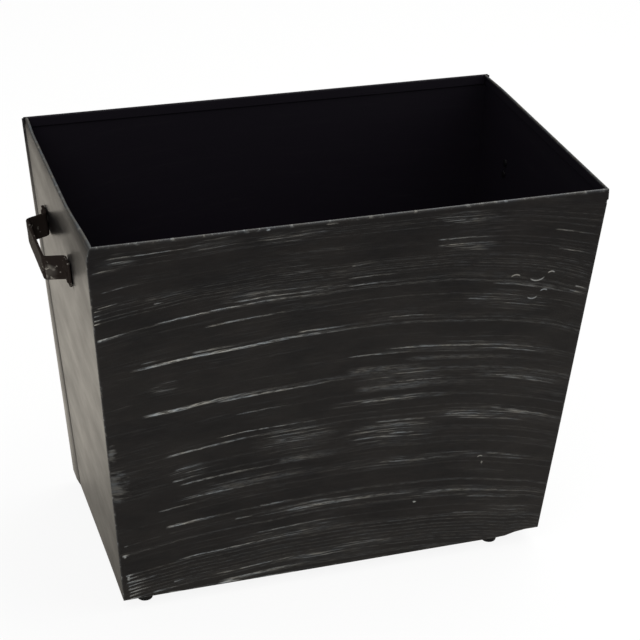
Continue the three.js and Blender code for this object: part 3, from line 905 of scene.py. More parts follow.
def ring_loft(rings: list[list[Vector]], cap_faces: list[list[int]] | None = None) -> bmesh.types.BMesh:
    """Joins rings of equal length into a closed skin with capped ends.

    Args:
        rings: The rings, each a closed loop of points.
        cap_faces: The faces that close an end, each as places in the ring. Without them one face closes it.

    Returns:
        The mesh, its faces outward.
    """
    mesh = bmesh.new()
    rows = [[mesh.verts.new(point) for point in ring] for ring in rings]
    count = len(rings[0])
    for before, after in zip(rows, rows[1:]):
        for i in range(count):
            j = (i + 1) % count
            mesh.faces.new((before[i], before[j], after[j], after[i]))
    caps = [mesh.faces.new([row[i] for i in face]) for face in cap_faces or [list(range(count))]
            for row in (rows[0], rows[-1])]
    bmesh.ops.triangulate(mesh, faces=[face for face in caps if len(face.verts) > 4])
    bmesh.ops.recalc_face_normals(mesh, faces=mesh.faces)
    return mesh


def turned_piece(name: str, outline: list[tuple[float, float]], sides: int, place: Matrix) -> Object:
    """Turns an outline about the Z axis of a frame.

    Args:
        name: The object's name.
        outline: Points as (radius, along the axis). An end on the axis closes there, else it is a loop.
        sides: How many sides the turned piece has.
        place: The frame.

    Returns:
        The object.
    """
    mesh = bmesh.new()
    angles = [2 * math.pi * k / sides for k in range(sides)]
    rows = []
    for radius, along in outline:
        if radius == 0:
            rows.append([mesh.verts.new(place @ Vector((0, 0, along)))] * sides)
        else:
            rows.append([mesh.verts.new(place @ Vector((radius * math.cos(a), radius * math.sin(a), along)))
                         for a in angles])
    closed_loop = outline[0][0] > 0
    for low, high in zip(rows, rows[1:] + ([rows[0]] if closed_loop else [])):
        for k in range(sides):
            j = (k + 1) % sides
            mesh.faces.new(list(dict.fromkeys((low[k], low[j], high[j], high[k]))))
    bmesh.ops.recalc_face_normals(mesh, faces=mesh.faces)
    return piece_from(name, mesh)


def carried(mesh: Mesh, points: list[Vector], values: list[float]) -> list[float]:
    """Carries numbers over to a mesh that was cut or joined since.

    Args:
        mesh: The mesh.
        points: Where its vertices were before.
        values: Their numbers.

    Returns:
        A number for each vertex of the mesh, zero for a new one.
    """
    same_place = 0.01 * MILLIMETRE
    tree = kdtree.KDTree(len(points))
    for index, point in enumerate(points):
        tree.insert(point, index)
    tree.balance()
    found = [tree.find(vert.co) for vert in mesh.vertices]
    return [values[index] if distance < same_place else 0.0 for _, index, distance in found]


def set_values(mesh: Mesh, name: str, values: list[float]) -> None:
    """Stores one number for each vertex.

    Args:
        mesh: The mesh.
        name: The attribute's name.
        values: The numbers, in the vertices' order.
    """
    attribute = mesh.attributes.get(name) or mesh.attributes.new(name, "FLOAT", "POINT")
    attribute.data.foreach_set("value", values)


def set_sheet_map(mesh: Mesh, places: list[tuple[float, float]]) -> None:
    """Stores where each vertex lies on its sheet as a UV map in metres.

    Args:
        mesh: The mesh.
        places: Distance along and below the rim, in the vertices' order.
    """
    layer = mesh.uv_layers.get(SHEET_MAP) or mesh.uv_layers.new(name=SHEET_MAP)
    for loop in mesh.loops:
        layer.data[loop.index].uv = places[loop.vertex_index]


def finish_piece(piece: Object, material: Material, node: str,
                 sharp_angle: float = 35.0) -> Object:
    """Shades a piece, gives it its finish, and ties it to the frame.

    Args:
        piece: The piece.
        material: Its finish.
        node: The node that it stands for.
        sharp_angle: Edges above this angle in degrees stay sharp.

    Returns:
        The piece.
    """
    mesh = piece.data
    mesh.shade_smooth()
    mesh.set_sharp_from_angle(angle=math.radians(sharp_angle))
    mesh.materials.clear()
    mesh.materials.append(material)
    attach(piece, BODY)
    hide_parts(node)
    log.info("%s: %d faces, for %s", piece.name, len(mesh.polygons), node)
    return piece


def piece_from(name: str, mesh: bmesh.types.BMesh) -> Object:
    """Makes an object of a mesh.

    Args:
        name: The object's name.
        mesh: The mesh, which is freed.

    Returns:
        The object, linked to the scene.
    """
    data = bpy.data.meshes.new(name)
    mesh.to_mesh(data)
    mesh.free()
    piece = bpy.data.objects.new(name, data)
    bpy.context.scene.collection.objects.link(piece)
    return piece


def bevel_edges(piece: Object, width: float, angle: float) -> None:
    """Gives a piece a modifier that rounds its edges.

    Args:
        piece: The piece.
        width: The rounding's width.
        angle: Edges above this angle in degrees are rounded.
    """
    bevel = piece.modifiers.new("edges", "BEVEL")
    bevel.width = width
    bevel.segments = 2
    bevel.limit_method = "ANGLE"
    bevel.angle_limit = math.radians(angle)


def apply_modifiers(piece: Object) -> None:
    """Replaces a piece's mesh with what its modifiers make of it.

    Args:
        piece: The piece.
    """
    graph = bpy.context.evaluated_depsgraph_get()
    made = bpy.data.meshes.new_from_object(piece.evaluated_get(graph))
    mesh = bmesh.new()
    mesh.from_mesh(made)
    bmesh.ops.dissolve_degenerate(mesh, dist=0.002 * MILLIMETRE, edges=mesh.edges)
    mesh.to_mesh(made)
    mesh.free()
    piece.modifiers.clear()
    piece.data = made


def combine(piece: Object, other: Object, operation: str) -> None:
    """Joins a piece with another object, or cuts it with that, and removes the object.

    Args:
        piece: The piece.
        other: The object.
        operation: UNION or DIFFERENCE.
    """
    boolean = piece.modifiers.new("boolean", "BOOLEAN")
    boolean.operation = operation
    boolean.solver = "EXACT"
    boolean.object = other
    apply_modifiers(piece)
    bpy.data.objects.remove(other)


def drill(piece: Object, holes: list[tuple[Matrix, float]]) -> None:
    """Drills round holes through a piece.

    Args:
        piece: The piece.
        holes: Each hole's frame, its Z along the hole, and its radius.
    """
    reach = 0.012
    sides = 32
    cutter = bmesh.new()
    for place, radius in holes:
        bmesh.ops.create_cone(cutter, cap_ends=True, segments=sides, radius1=radius, radius2=radius,
                              depth=reach, matrix=place)
    combine(piece, piece_from("drill", cutter), "DIFFERENCE")


@dataclass
class SheetWall:
    """One wall: a sheet with its rim folded over to the inside.

    An end wall has a strip that turns in behind the front, and the back has a flap round each of its corners.
    """

    form: BoxForm
    face: Face
    paint: Material
    rivet_holes: list = field(default_factory=list)
    arc_steps: int = 8
    edge_round: float = 0.0006
    lip: float = 0.0003  # the small bevels of cut edges
    rows_in_fold: tuple[float, ...] = (0.0030, 0.0050, 0.0075)  # below the rim
    rows_under_fold: tuple[float, ...] = (0.0014, 0.0036, 0.0046, 0.0066)  # below the fold
    rows_over_edge: tuple[float, ...] = (0.006, 0.003, 0.0012)  # above the lower edge
    row_spacing: float = 0.011
    columns_near_end: tuple[float, ...] = (0.0, 0.00015, 0.0004, 0.0006, 0.0012, 0.0025, 0.005, 0.009, 0.014)
    column_spacing: float = 0.012
    wear_reach: float = 0.0026  # how far wear spreads from an edge
    waviness: float = 0.0005
    wave_along: float = 0.13  # how far apart the waves are along the rim
    wave_down: float = 0.11  # the same down the wall
    calm_end: float = 0.04  # from a wall's end, over which the waves come up
    calm_rim: float = 0.03  # the same from the rim
    corner_pinch: float = 0.0040  # how far the rim is pressed in at the front left corner
    other_pinch: float = 0.0018  # the same at the other corners, which reaches half as far
    pinch_length: float = 0.095
    pinch_height: float = 0.015
    flange_bend: float = 0.0015
    flap_edge: float = 0.00015  # thickness left at the flap's free edge
    flap_taper: float = 0.012  # over which it thins out
    fold_end: float = 0.0007  # how far the front's fold sticks out at its right end
    fold_end_length: float = 0.005

    @property
    def past_ends(self) -> float:
        """How far the sheet reaches past the end walls, which only the back's does."""
        return self.form.sheet + self.form.fit if self.face is Face.BACK else 0.0

    @property
    def fold_shows(self) -> bool:
        """Whether the silver reaches over the top of the fold, which the back's doesn't."""
        return self.face is not Face.BACK

    def mitre(self, depth: float) -> float:
        """How far the fold is cut back, so that two folds meet on the corner's diagonal.

        Args:
            depth: The point's depth from the outside.

        Returns:
            The distance in from the wall's end.
        """
        sheet = self.form.sheet
        if self.face.is_end:
            return max(sheet, depth) + self.form.fit
        blend = min(max((depth / sheet - 0.9) / 0.2, 0.0), 1.0)
        return blend * (depth + self.form.fit) - (1 - blend) * self.past_ends

    def rows(self) -> list[float]:
        """Places down the wall.

        Returns:
            Distances below the rim, from the end of the fold's bend to just above the lower edge.
        """
        sheet, hem, slope = self.form.sheet, self.form.hem, self.form.slope(self.face.is_end)
        above_edge, under_hem = 0.01, 0.002
        count = int((slope - hem - above_edge) / self.row_spacing)
        steps = [hem + step for step in self.rows_under_fold]
        steps += [hem + under_hem + self.row_spacing * i for i in range(1, count)]
        low = [slope - step for step in (*self.rows_over_edge, self.edge_round)]
        return [sheet, *self.rows_in_fold, hem - self.lip, hem + self.lip, *steps, *low]

    def profile(self) -> tuple[list[tuple[float, float, float]], list[list[int]]]:
        """The wall's cross-section.

        Returns:
            Points as (below the rim, depth from the outside, how far the ends are cut back), a closed loop
            from the lower edge up the outside, over the fold, and down the inside. Then the faces that close
            an end, as places in that loop.
        """
        sheet, hem, slope = self.form.sheet, self.form.hem, self.form.slope(self.face.is_end)
        down = self.rows()
        cut = sheet + self.form.fit if self.face.is_end else -self.past_ends
        outside = [(below, 0.0, cut) for below in reversed(down)]
        fold = []
        for step in range(1, 2 * self.arc_steps):
            angle = math.pi * step / (2 * self.arc_steps)
            depth = sheet * (1 - math.cos(angle))
            fold.append((sheet * (1 - math.sin(angle)), depth, self.mitre(depth)))
        inner_cut = self.mitre(2 * sheet)
        hem_down = [below for below in down if below < hem]
        inner_hem = [(below, 2 * sheet, inner_cut) for below in hem_down]
        hem_lip = [(hem, 2 * sheet - self.lip, inner_cut), (hem, sheet + self.lip / 3, inner_cut)]
        inside = [(below, sheet, cut) for below in down if below > hem]
        lower_edge = [(slope, sheet - self.edge_round, cut), (slope, self.edge_round, cut)]
        loop = outside + fold + inner_hem + hem_lip + inside + lower_edge
        rows, folded = len(down), len(hem_down)
        outer = list(reversed(range(rows)))
        inner = list(range(rows + len(fold), rows + len(fold) + folded))
        lip = [inner[-1] + 1, inner[-1] + 2]
        inner += range(lip[-1] + 1, lip[-1] + 1 + rows - folded)
        caps = [[outer[k + 1], outer[k], inner[k], inner[k + 1]] for k in range(rows - 1) if k != folded - 1]
        caps.append([*range(outer[0], inner[0] + 1)])
        caps.append([outer[folded], outer[folded - 1], inner[folded - 1], *lip, inner[folded]])
        caps.append([len(loop) - 1, outer[-1], inner[-1], len(loop) - 2])
        return loop, caps

    def columns(self) -> list[tuple[int, float, float]]:
        """Places along the wall.

        Returns:
            Each as (side, share of the half width, distance in from the end).
        """
        near = self.columns_near_end
        half = self.form.half_width(self.face.is_end, 0.5)
        inner = int(2 * (half - near[-1]) / self.column_spacing)
        clear = 1.9  # the even columns end before this many times the near ones' reach
        outer_share = 1 - clear * near[-1] / half
        shares = [outer_share * (2 * i / inner - 1) for i in range(inner + 1)]
        left = [(-1, 1.0, from_end) for from_end in near]
        right = [(1, 1.0, from_end) for from_end in reversed(near)]
        return left + [(1, share, 0.0) for share in shares] + right

    def build(self) -> Object:
        """Builds the wall's mesh and dresses it.

        Returns:
            The wall.
        """
        slope = self.form.slope(self.face.is_end)
        place = self.form.place(self.face)
        loop, caps = self.profile()
        rings, sheet_places, outside, wear = [], [], [], []
        for side, share, from_end in self.columns():
            ring = []
            for below, depth, cut_back in loop:
                half = self.form.half_width(self.face.is_end, below / slope) - cut_back
                along = side * (share * half - from_end)
                ring.append(place @ self.settle(along, below, depth, half))
                sheet_places.append((along, below))
                folded = below < self.form.sheet
                outside.append(float(self.fold_shows if folded else depth < 0.9 * self.form.sheet))
                wear.append(self.wear_at(half - abs(along), below, slope, depth))
            rings.append(ring)
        wall = piece_from(f"{self.face.node}_sheet", ring_loft(rings, caps))
        set_sheet_map(wall.data, sheet_places)
        set_values(wall.data, OUTSIDE, outside)
        set_values(wall.data, WEAR_AND_GLINT, wear)
        if self.face is not Face.FRONT:
            points = [vert.co.copy() for vert in wall.data.vertices]
            if self.face.is_end:
                self.join_flange(wall, -1 if self.face is Face.RIGHT else 1)
                drill(wall, self.rivet_holes)
            else:
                for end in End:
                    self.join_flap(wall, end)
            self.dress_again(wall.data, carried(wall.data, points, outside), carried(wall.data, points, wear))
        self.form.knock_up(wall.data)
        return finish_piece(wall, self.paint, self.face.node)

    def dress_again(self, mesh: Mesh, outside: list[float], wear: list[float]) -> None:
        """Maps and paints a wall with the strips that were joined to it. A flap lies on an end wall's sheet.

        Args:
            mesh: The wall's mesh.
            outside: Which of its vertices lie outside, without the strips'.
            wear: How worn they are, without the strips'.
        """
        form = self.form
        past_corner, most_worn = 0.4 * form.sheet, 0.8
        to_sheet = {face: form.place(face).inverted() for face in Face}
        places = []
        for index, vert in enumerate(mesh.vertices):
            half_x, half_y = form.halves(vert.co.z)
            from_back = half_y - vert.co.y
            sheet = self.face
            if sheet is Face.BACK and abs(vert.co.x) > half_x and from_back > past_corner:
                sheet = Face.RIGHT if vert.co.x > 0 else Face.LEFT
                to_edge = form.flap_width(vert.co.z) - from_back
                outside[index] = 1.0
                wear[index] = max(wear[index], most_worn * max(0.0, 1 - to_edge / self.wear_reach))
            places.append((to_sheet[sheet] @ vert.co).to_2d())
        set_sheet_map(mesh, places)
        set_values(mesh, OUTSIDE, outside)
        set_values(mesh, WEAR_AND_GLINT, wear)

    def join_strip(self, wall: Object, low: float, high: float, rows: int, ring_at: Callable) -> None:
        """Joins a strip that runs up a corner.

        Args:
            wall: The wall.
            low: Height of the strip's lower end.
            high: Height of its upper end.
            rows: How many steps it has.
            ring_at: Gives its section at a height.
        """
        heights = [low + (high - low) * row / rows for row in range(rows + 1)]
        combine(wall, piece_from("strip", ring_loft([ring_at(z) for z in heights])), "UNION")

    def join_flap(self, wall: Object, end: End) -> None:
        """Joins the flap that turns round a corner and lies on an end wall, its free edge hammered thin.

        Args:
            wall: The back wall.
            end: The end that carries the flap.
        """
        form, step = self.form, self.lip / 3
        seam, out, thin = form.fit, form.fit + form.sheet, form.fit + self.flap_edge

        def ring_at(z: float) -> list[Vector]:
            """The flap's section.

            Args:
                z: The height.

            Returns:
                Its points, a closed loop.
            """
            half_x, half_y = form.halves(z)
            width = form.flap_width(z)
            taper = width - min(self.flap_taper, 0.4 * width)
            section = [(seam, form.sheet / 2), (out - step, form.sheet / 2), (out, form.sheet), (out, taper),
                       (thin, width - step), (thin - step / 2, width), (seam, width)]
            return [Vector((end.side * (half_x + a), half_y - b, z)) for a, b in section]

        self.join_strip(wall, form.foot_height + self.edge_round, form.height - 0.8 * form.sheet, 40, ring_at)

    def join_flange(self, wall: Object, side: int) -> None:
        """Joins the strip that turns in behind the front.

        Args:
            wall: The end wall.
            side: Which end of the wall, as the sign along the rim.
        """
        form, lip, radius = self.form, self.lip, self.flange_bend
        turn = Matrix.Rotation(self.face.turn, 4, "Z")
        sheet, seam, wide = form.sheet, form.sheet + 3 * form.fit, form.corner_flange
        inner = seam + sheet
        section = [(sheet / 2, seam), (wide - lip, seam), (wide, seam + lip), (wide, inner - lip),
                   (wide - lip, inner)]
        for step in range(self.arc_steps + 1):
            angle = math.pi / 2 * step / self.arc_steps
            section.append((sheet + radius * (1 - math.sin(angle)), inner + radius * (1 - math.cos(angle))))
        section.append((sheet / 2, inner + radius))

        def ring_at(z: float) -> list[Vector]:
            """The flange's section.

            Args:
                z: The height.

            Returns:
                Its points, a closed loop.
            """
            half_x, half_y = form.halves(z)
            return [turn @ Vector((half_x - a, side * (half_y - b), z)) for a, b in section]

        self.join_strip(wall, form.foot_height + lip, form.height - form.hem - form.hem_relief, 24, ring_at)

    def settle(self, along: float, below: float, depth: float, half: float) -> Vector:
        """Moves a point of the flat wall to where the real sheet lies.

        Args:
            along: Distance along the rim from the middle.
            below: Distance below the rim.
            depth: Distance in from the outside.
            half: Half the wall's width there.

        Returns:
            The point in the wall's frame.
        """
        from_end = half - abs(along)
        rounding = self.edge_round - min(from_end, self.edge_round)
        pull = self.edge_round - math.sqrt(max(self.edge_round ** 2 - rounding ** 2, 0.0))
        middle = self.form.sheet / (1 if below < self.form.hem else 2)
        depth += pull * (1 - depth / middle)
        side = 1 if along > 0 else -1
        pinch = self.pinch_at(side, from_end, below, depth)
        if self.face.is_end:
            depth += pinch
            below += pinch * self.form.run(True) / self.form.wall_height
        else:
            along -= side * pinch
        fade = min(from_end / self.calm_end, 1.0) * min(below / self.calm_rim, 1.0)
        seed = 7.0 * list(Face).index(self.face)
        wave = noise.noise(Vector((along / self.wave_along, below / self.wave_down, seed)))
        depth += self.waviness * fade * (0.5 + 0.5 * wave)
        return Vector((along, below, depth))

    def pinch_at(self, side: int, from_end: float, below: float, depth: float) -> float:
        """How far the rim is pressed in at a corner.

        The front right corner isn't pressed in: the front's fold sticks out there.

        Args:
            side: Which end of the wall, as the sign along the rim.
            from_end: Distance in from that end.
            below: Distance below the rim.
            depth: Distance in from the outside.

        Returns:
            The distance towards the box's middle.
        """
        hem = self.form.hem
        under_fold, past_lip = 0.004, 0.0008  # how far below the fold its bent end reaches, and the slant in it
        corner = {Face.FRONT: (side, -1), Face.BACK: (-side, 1),
                  Face.RIGHT: (1, side), Face.LEFT: (-1, -side)}
        if corner[self.face] == (1, -1):
            if self.face is not Face.FRONT or depth >= self.form.sheet or below >= hem + under_fold:
                return 0.0
            near = max(0.0, 1 - from_end / self.fold_end_length)
            in_fold = below < hem + past_lip
            return near * self.fold_end * (1 - 2 * below / hem if in_fold else 0.6)
        big = corner[self.face] == (-1, -1)
        reach = 1.0 if big else 0.5
        near = max(0.0, 1 - from_end / (reach * self.pinch_length))
        high = max(0.0, 1 - below / (reach * self.pinch_height))
        return (self.corner_pinch if big else self.other_pinch) * near ** 2 * (3 - 2 * near) * high ** 1.5

    def wear_at(self, from_end: float, below: float, slope: float, depth: float) -> float:
        """How worn the paint is at a point.

        Args:
            from_end: Distance in from the wall's end.
            below: Distance below the rim.
            slope: The wall's length down its slope.
            depth: Distance in from the outside.

        Returns:
            0 for sound paint to 1 on an edge.
        """
        at_end, at_edge = 1.6, 1.3  # how much faster wear fades there than at the rim
        nearest = min(from_end * at_end, below, (slope - below) * at_edge)
        if depth > 1.1 * self.form.sheet:
            nearest = max(nearest, depth - self.form.sheet)
        return max(0.0, 1 - nearest / self.wear_reach) ** 1.5


@dataclass
class FloorTray:
    """The floor: a sheet whose upturned edges end short of its corners."""

    form: BoxForm
    paint: Material
    bend: float = 0.0015  # inside of the bend
    seam: float = 0.0001  # between a flange and its wall
    notch: float = 0.0123
    relief: float = 0.0003
    corner_gap: float = 0.0017  # from a wall's outside; twice that at the front, where a flange lies between
    edge_bevel: float = 0.00025
    bend_steps: int = 6
    worn: float = 0.4  # how worn the upper edges are
    wear_reach: float = 0.002

    def chain(self) -> list[tuple[float, float]]:
        """The middle of an upturned edge.

        Returns:
            Points as (distance in from the wall's outside, height), from the start of the bend upwards.
        """
        sheet = self.form.sheet
        middle = self.form.foot_height + sheet / 2
        radius = self.bend + sheet / 2
        wall = sheet + self.seam + sheet / 2
        points = []
        for step in range(self.bend_steps + 1):
            angle = math.pi / 2 * step / self.bend_steps
            points.append((wall + radius * (1 - math.sin(angle)), middle + radius * (1 - math.cos(angle))))
        return points + [(wall, self.form.foot_height + self.form.floor_flange)]

    def turn_up(self, mesh: bmesh.types.BMesh, edge: tuple, turn: tuple[int, int]) -> None:
        """Turns up one side of the floor.

        Args:
            mesh: The tray's mesh.
            edge: The two vertices where the bend starts.
            turn: The side's direction, as the signs along X and Y.
        """
        for inset, z in self.chain()[1:]:
            half_x, half_y = self.form.halves(z)
            row = []
            for vert in edge:
                if turn[1]:
                    place = (math.copysign(half_x - self.notch, vert.co.x), turn[1] * (half_y - inset), z)
                else:
                    place = (turn[0] * (half_x - inset), math.copysign(half_y - self.notch, vert.co.y), z)
                row.append(mesh.verts.new(place))
            mesh.faces.new((edge[0], row[0], row[1], edge[1]))
            edge = tuple(row)

    def build(self, holes: list[tuple[Matrix, float]]) -> Object:
        """Builds the tray's mesh and dresses it.

        Args:
            holes: The screws' holes.

        Returns:
            The tray.
        """
        start, middle = self.chain()[0]
        x, y = self.form.halves(middle)
        wide = self.notch - self.relief
        front, back = ([(self.notch, start), (wide, start), (wide, deep), (self.corner_gap, deep),
                        (self.corner_gap, wide), (start, wide), (start, self.notch)]
                       for deep in (2 * self.corner_gap, self.corner_gap))
        outline = [(x - a, -(y - b)) for a, b in front]
        outline += [(x - a, y - b) for a, b in reversed(back)]
        outline += [(-(x - a), y - b) for a, b in back]
        outline += [(-(x - a), -(y - b)) for a, b in reversed(front)]
        mesh = bmesh.new()
        plate = [mesh.verts.new((px, py, middle)) for px, py in outline]
        mesh.faces.new(plate)
        for corner, turn in enumerate(((0, -1), (1, 0), (0, 1), (-1, 0))):
            first = corner * len(front)
            self.turn_up(mesh, (plate[first - 1], plate[first]), turn)
        bmesh.ops.recalc_face_normals(mesh, faces=mesh.faces)
        tray = piece_from("floor_tray_sheet", mesh)
        sheet = tray.modifiers.new("sheet", "SOLIDIFY")
        sheet.thickness = self.form.sheet
        sheet.offset = 0.0
        sheet.use_even_offset = True
        bevel_edges(tray, self.edge_bevel, 60)
        apply_modifiers(tray)
        drill(tray, holes)
        top = self.form.foot_height + self.form.floor_flange
        points = [vert.co for vert in tray.data.vertices]
        set_sheet_map(tray.data, [(co.x, co.y) for co in points])
        set_values(tray.data, OUTSIDE, [0.0] * len(points))
        set_values(tray.data, WEAR_AND_GLINT,
                   [self.worn * max(0.0, 1 - (top - co.z) / self.wear_reach) for co in points])
        self.form.knock_up(tray.data)
        return finish_piece(tray, self.paint, "floor_tray")


@dataclass
class StrapHandle:
    """A flat bar hammered into a rigid strap: tab, leg, grip, leg and tab, with its four rivets."""

    form: BoxForm
    end: End
    iron: Material
    width: float = 0.024
    thickness: float = 0.003
    below_rim: float = 0.0615
    span: float = 0.097
    stand_off: float = 0.022
    leg_lean: float = 0.006
    tab: float = 0.017
    bend_radius: float = 0.004
    set_back: float = 0.014
    edge_round: float = 0.0008
    seat: float = 0.00005  # between the tab and the wall
    hammering: float = 0.00035  # how deep a hammer mark goes
    facet: float = 0.007  # how far apart the marks are
    broad_from: float = 0.0007  # from the bar's middle, where its broad sides begin
    edge_reach: float = 0.003  # how far wear spreads from an edge
    end_reach: float = 0.002  # the same from an end
    bare_glint_radius: float = 0.011  # the part of a leg rubbed to bare iron, with a painted highlight on its facets' tops
    bare_glint_in: float = 0.0065  # how far its middle lies in from the grip's outside
    bare_glint_down: float = 0.0035  # and below the bar's middle
    step: float = 0.0012  # spacing of the rings
    rivet_radius: float = 0.0024
    head_radius: float = 0.004
    head_height: float = 0.0014
    tail_radius: float = 0.0036
    tail_height: float = 0.002
    rivet_from_tab_end: float = 0.0065
    rivet_pitch: float = 0.012
    rivet_reach: float = 0.0012  # how far below its top a head is worn
    hole_play: float = 0.0003
    sides: int = 40

    @property
    def face(self) -> Face:
        """The end wall that carries the handle."""
        return Face.LEFT if self.end is End.LEFT else Face.RIGHT

    def rivet_places(self) -> list[tuple[str, float, float]]:
        """The rivets.

        Returns:
            Each as (name, distance along the wall, distance below the rim).
        """
        reach = self.span / 2 + self.tab - self.rivet_from_tab_end
        below = self.below_rim + self.width / 2
        levels = (("upper", 1), ("lower", -1))
        return [(f"{place}_{level}", self.end.side * (self.set_back + towards * reach),
                 below - rise * self.rivet_pitch / 2)
                for place, towards in (("front", -1), ("back", 1)) for level, rise in levels]

    def holes(self) -> list[tuple[Matrix, float]]:
        """The rivets' holes.

        Returns:
            Each as its frame and its radius.
        """
        place = self.form.place(self.face)
        return [(place @ Matrix.Translation((along, below, 0)), self.rivet_radius + self.hole_play)
                for _, along, below in self.rivet_places()]

    def centre_line(self) -> list[tuple[Vector, Vector]]:
        """The strap's middle line with its bends.

        Returns:
            Points and outward normals, both as (along, out), spaced closely.
        """
        half = self.thickness / 2
        on_wall = self.seat + half
        grip = self.stand_off - half
        foot = self.span / 2 - half
        arc_steps = 9
        ends = [(self.span / 2 + self.tab, on_wall), (foot, on_wall), (foot - self.leg_lean, grip)]
        corners = [Vector((-s, out)) for s, out in ends] + [Vector((s, out)) for s, out in reversed(ends)]
        line = []
        start = corners[0]
        for i in range(1, len(corners)):
            direction = (corners[i] - corners[i - 1]).normalized()
            normal = Vector((-direction.y, direction.x))
            if i == len(corners) - 1:
                stop, turn = corners[i], 0.0
            else:
                after = (corners[i + 1] - corners[i]).normalized()
                turn = math.atan2(direction.cross(after), direction.dot(after))
                stop = corners[i] - direction * self.bend_radius * math.tan(abs(turn) / 2)
            count = max(2, round((stop - start).length / self.step))
            line += [(start.lerp(stop, k / count), normal) for k in range(count + (turn == 0.0))]
            if turn:
                towards = normal * math.copysign(self.bend_radius, turn)
                centre = stop + towards
                for k in range(arc_steps):
                    spin = Matrix.Rotation(turn * k / arc_steps, 2)
                    line.append((centre - spin @ towards, spin @ normal))
                start = centre - Matrix.Rotation(turn, 2) @ towards
        return line

    def section(self) -> list[tuple[float, float, float]]:
        """The bar's cross-section.

        Returns:
            Points as (across the width, through the thickness, wear), a closed loop.
        """
        half_w, half_t, r = self.width / 2, self.thickness / 2, self.edge_round
        inner = half_w - r
        arc_steps, flat_steps = 4, 14
        points = []
        for sign_w, sign_t, from_angle in ((1, 1, 0), (-1, 1, 90), (-1, -1, 180), (1, -1, 270)):
            for step in range(arc_steps + 1):
                angle = math.radians(from_angle + 90 / arc_steps * step)
                points.append((sign_w * inner + r * math.cos(angle),
                               sign_t * (half_t - r) + r * math.sin(angle), 1.0))
            if from_angle in (0, 180):
                for k in range(1, flat_steps):
                    w = sign_w * inner * (1 - 2 * k / flat_steps)
                    points.append((w, sign_t * half_t, max(0.0, 1 - (inner - abs(w)) / self.edge_reach)))
        return points

    def bare_glint(self, point: Vector, across: float, through: float) -> float:
        """How bare a leg is rubbed below the grip's ends, where its facets' tops carry a painted highlight.

        Args:
            point: The place on the middle line.
            across: Distance across the bar's width.
            through: Distance out from the bar's middle.

        Returns:
            0 for sound paint to 1 in the middle of the bare patch with its painted highlight.
        """
        grip_end = self.span / 2 - self.leg_lean
        away = Vector((abs(point.x) - grip_end, point.y - self.stand_off + self.bare_glint_in,
                       across - self.bare_glint_down))
        on_leg = through > 0 and point.y < self.stand_off - self.thickness
        return max(0.0, 1 - away.length / self.bare_glint_radius) ** 0.7 * on_leg

    def build(self) -> list[Object]:
        """Builds the strap and its rivets.

        Returns:
            The pieces.
        """
        place = self.form.place(self.face)
        line = self.centre_line()
        section = self.section()
        middle, middle_down = self.end.side * self.set_back, self.below_rim + self.width / 2
        either_side = 4  # rings over which a bend counts
        on_edge, on_bend, at_end, where_bare_glint = 0.8, 0.5, 0.2, 2.2
        rings, wear = [], []
        for i, (point, normal) in enumerate(line):
            to_end = min((point - line[0][0]).length, (point - line[-1][0]).length)
            rounding = max(self.edge_round - to_end, 0)
            shrink = self.edge_round - math.sqrt(max(self.edge_round ** 2 - rounding ** 2, 0))
            bend = (line[min(i + either_side, len(line) - 1)][1] - line[max(i - either_side, 0)][1]).length
            ring = []
            for across, through, edge in section:
                across -= math.copysign(min(shrink, abs(across)), across)
                through -= math.copysign(min(shrink, abs(through)), through)
                mark = noise.noise(Vector((point.x, across, self.end.side + point.y)) / self.facet)
                is_broad, is_edge = abs(through) > self.broad_from, edge > 0.9
                through -= math.copysign(self.hammering * (0.5 + 0.5 * mark), through) * is_broad
                across -= math.copysign(self.hammering * (0.5 - 0.5 * mark), across) * is_edge
                spot = point + normal * through
                ring.append(place @ Vector((middle + spot.x, middle_down + across, -spot.y)))
                # wear of edges, bends and ends; values above 1 mark the legs' bare iron patch with its painted
                # highlight
                wear.append(max(on_edge * edge, on_bend * bend)
                            + at_end * max(0.0, 1 - to_end / self.end_reach)
                            + where_bare_glint * self.bare_glint(point, across, through))
            rings.append(ring)
        strap = piece_from(f"{self.end.word}_strap", ring_loft(rings))
        points = [vert.co.copy() for vert in strap.data.vertices]
        drill(strap, self.holes())
        set_values(strap.data, WEAR_AND_GLINT, carried(strap.data, points, wear))
        set_values(strap.data, OUTSIDE, [1.0] * len(strap.data.vertices))
        name = f"{self.end.word}_handle"
        pieces = [finish_piece(strap, self.iron, name, sharp_angle=50)]
        for rivet, along, below in self.rivet_places():
            pieces.append(self.rivet(f"{name}_{rivet}_rivet", place @ Matrix.Translation((along, below, 0))))
        return pieces

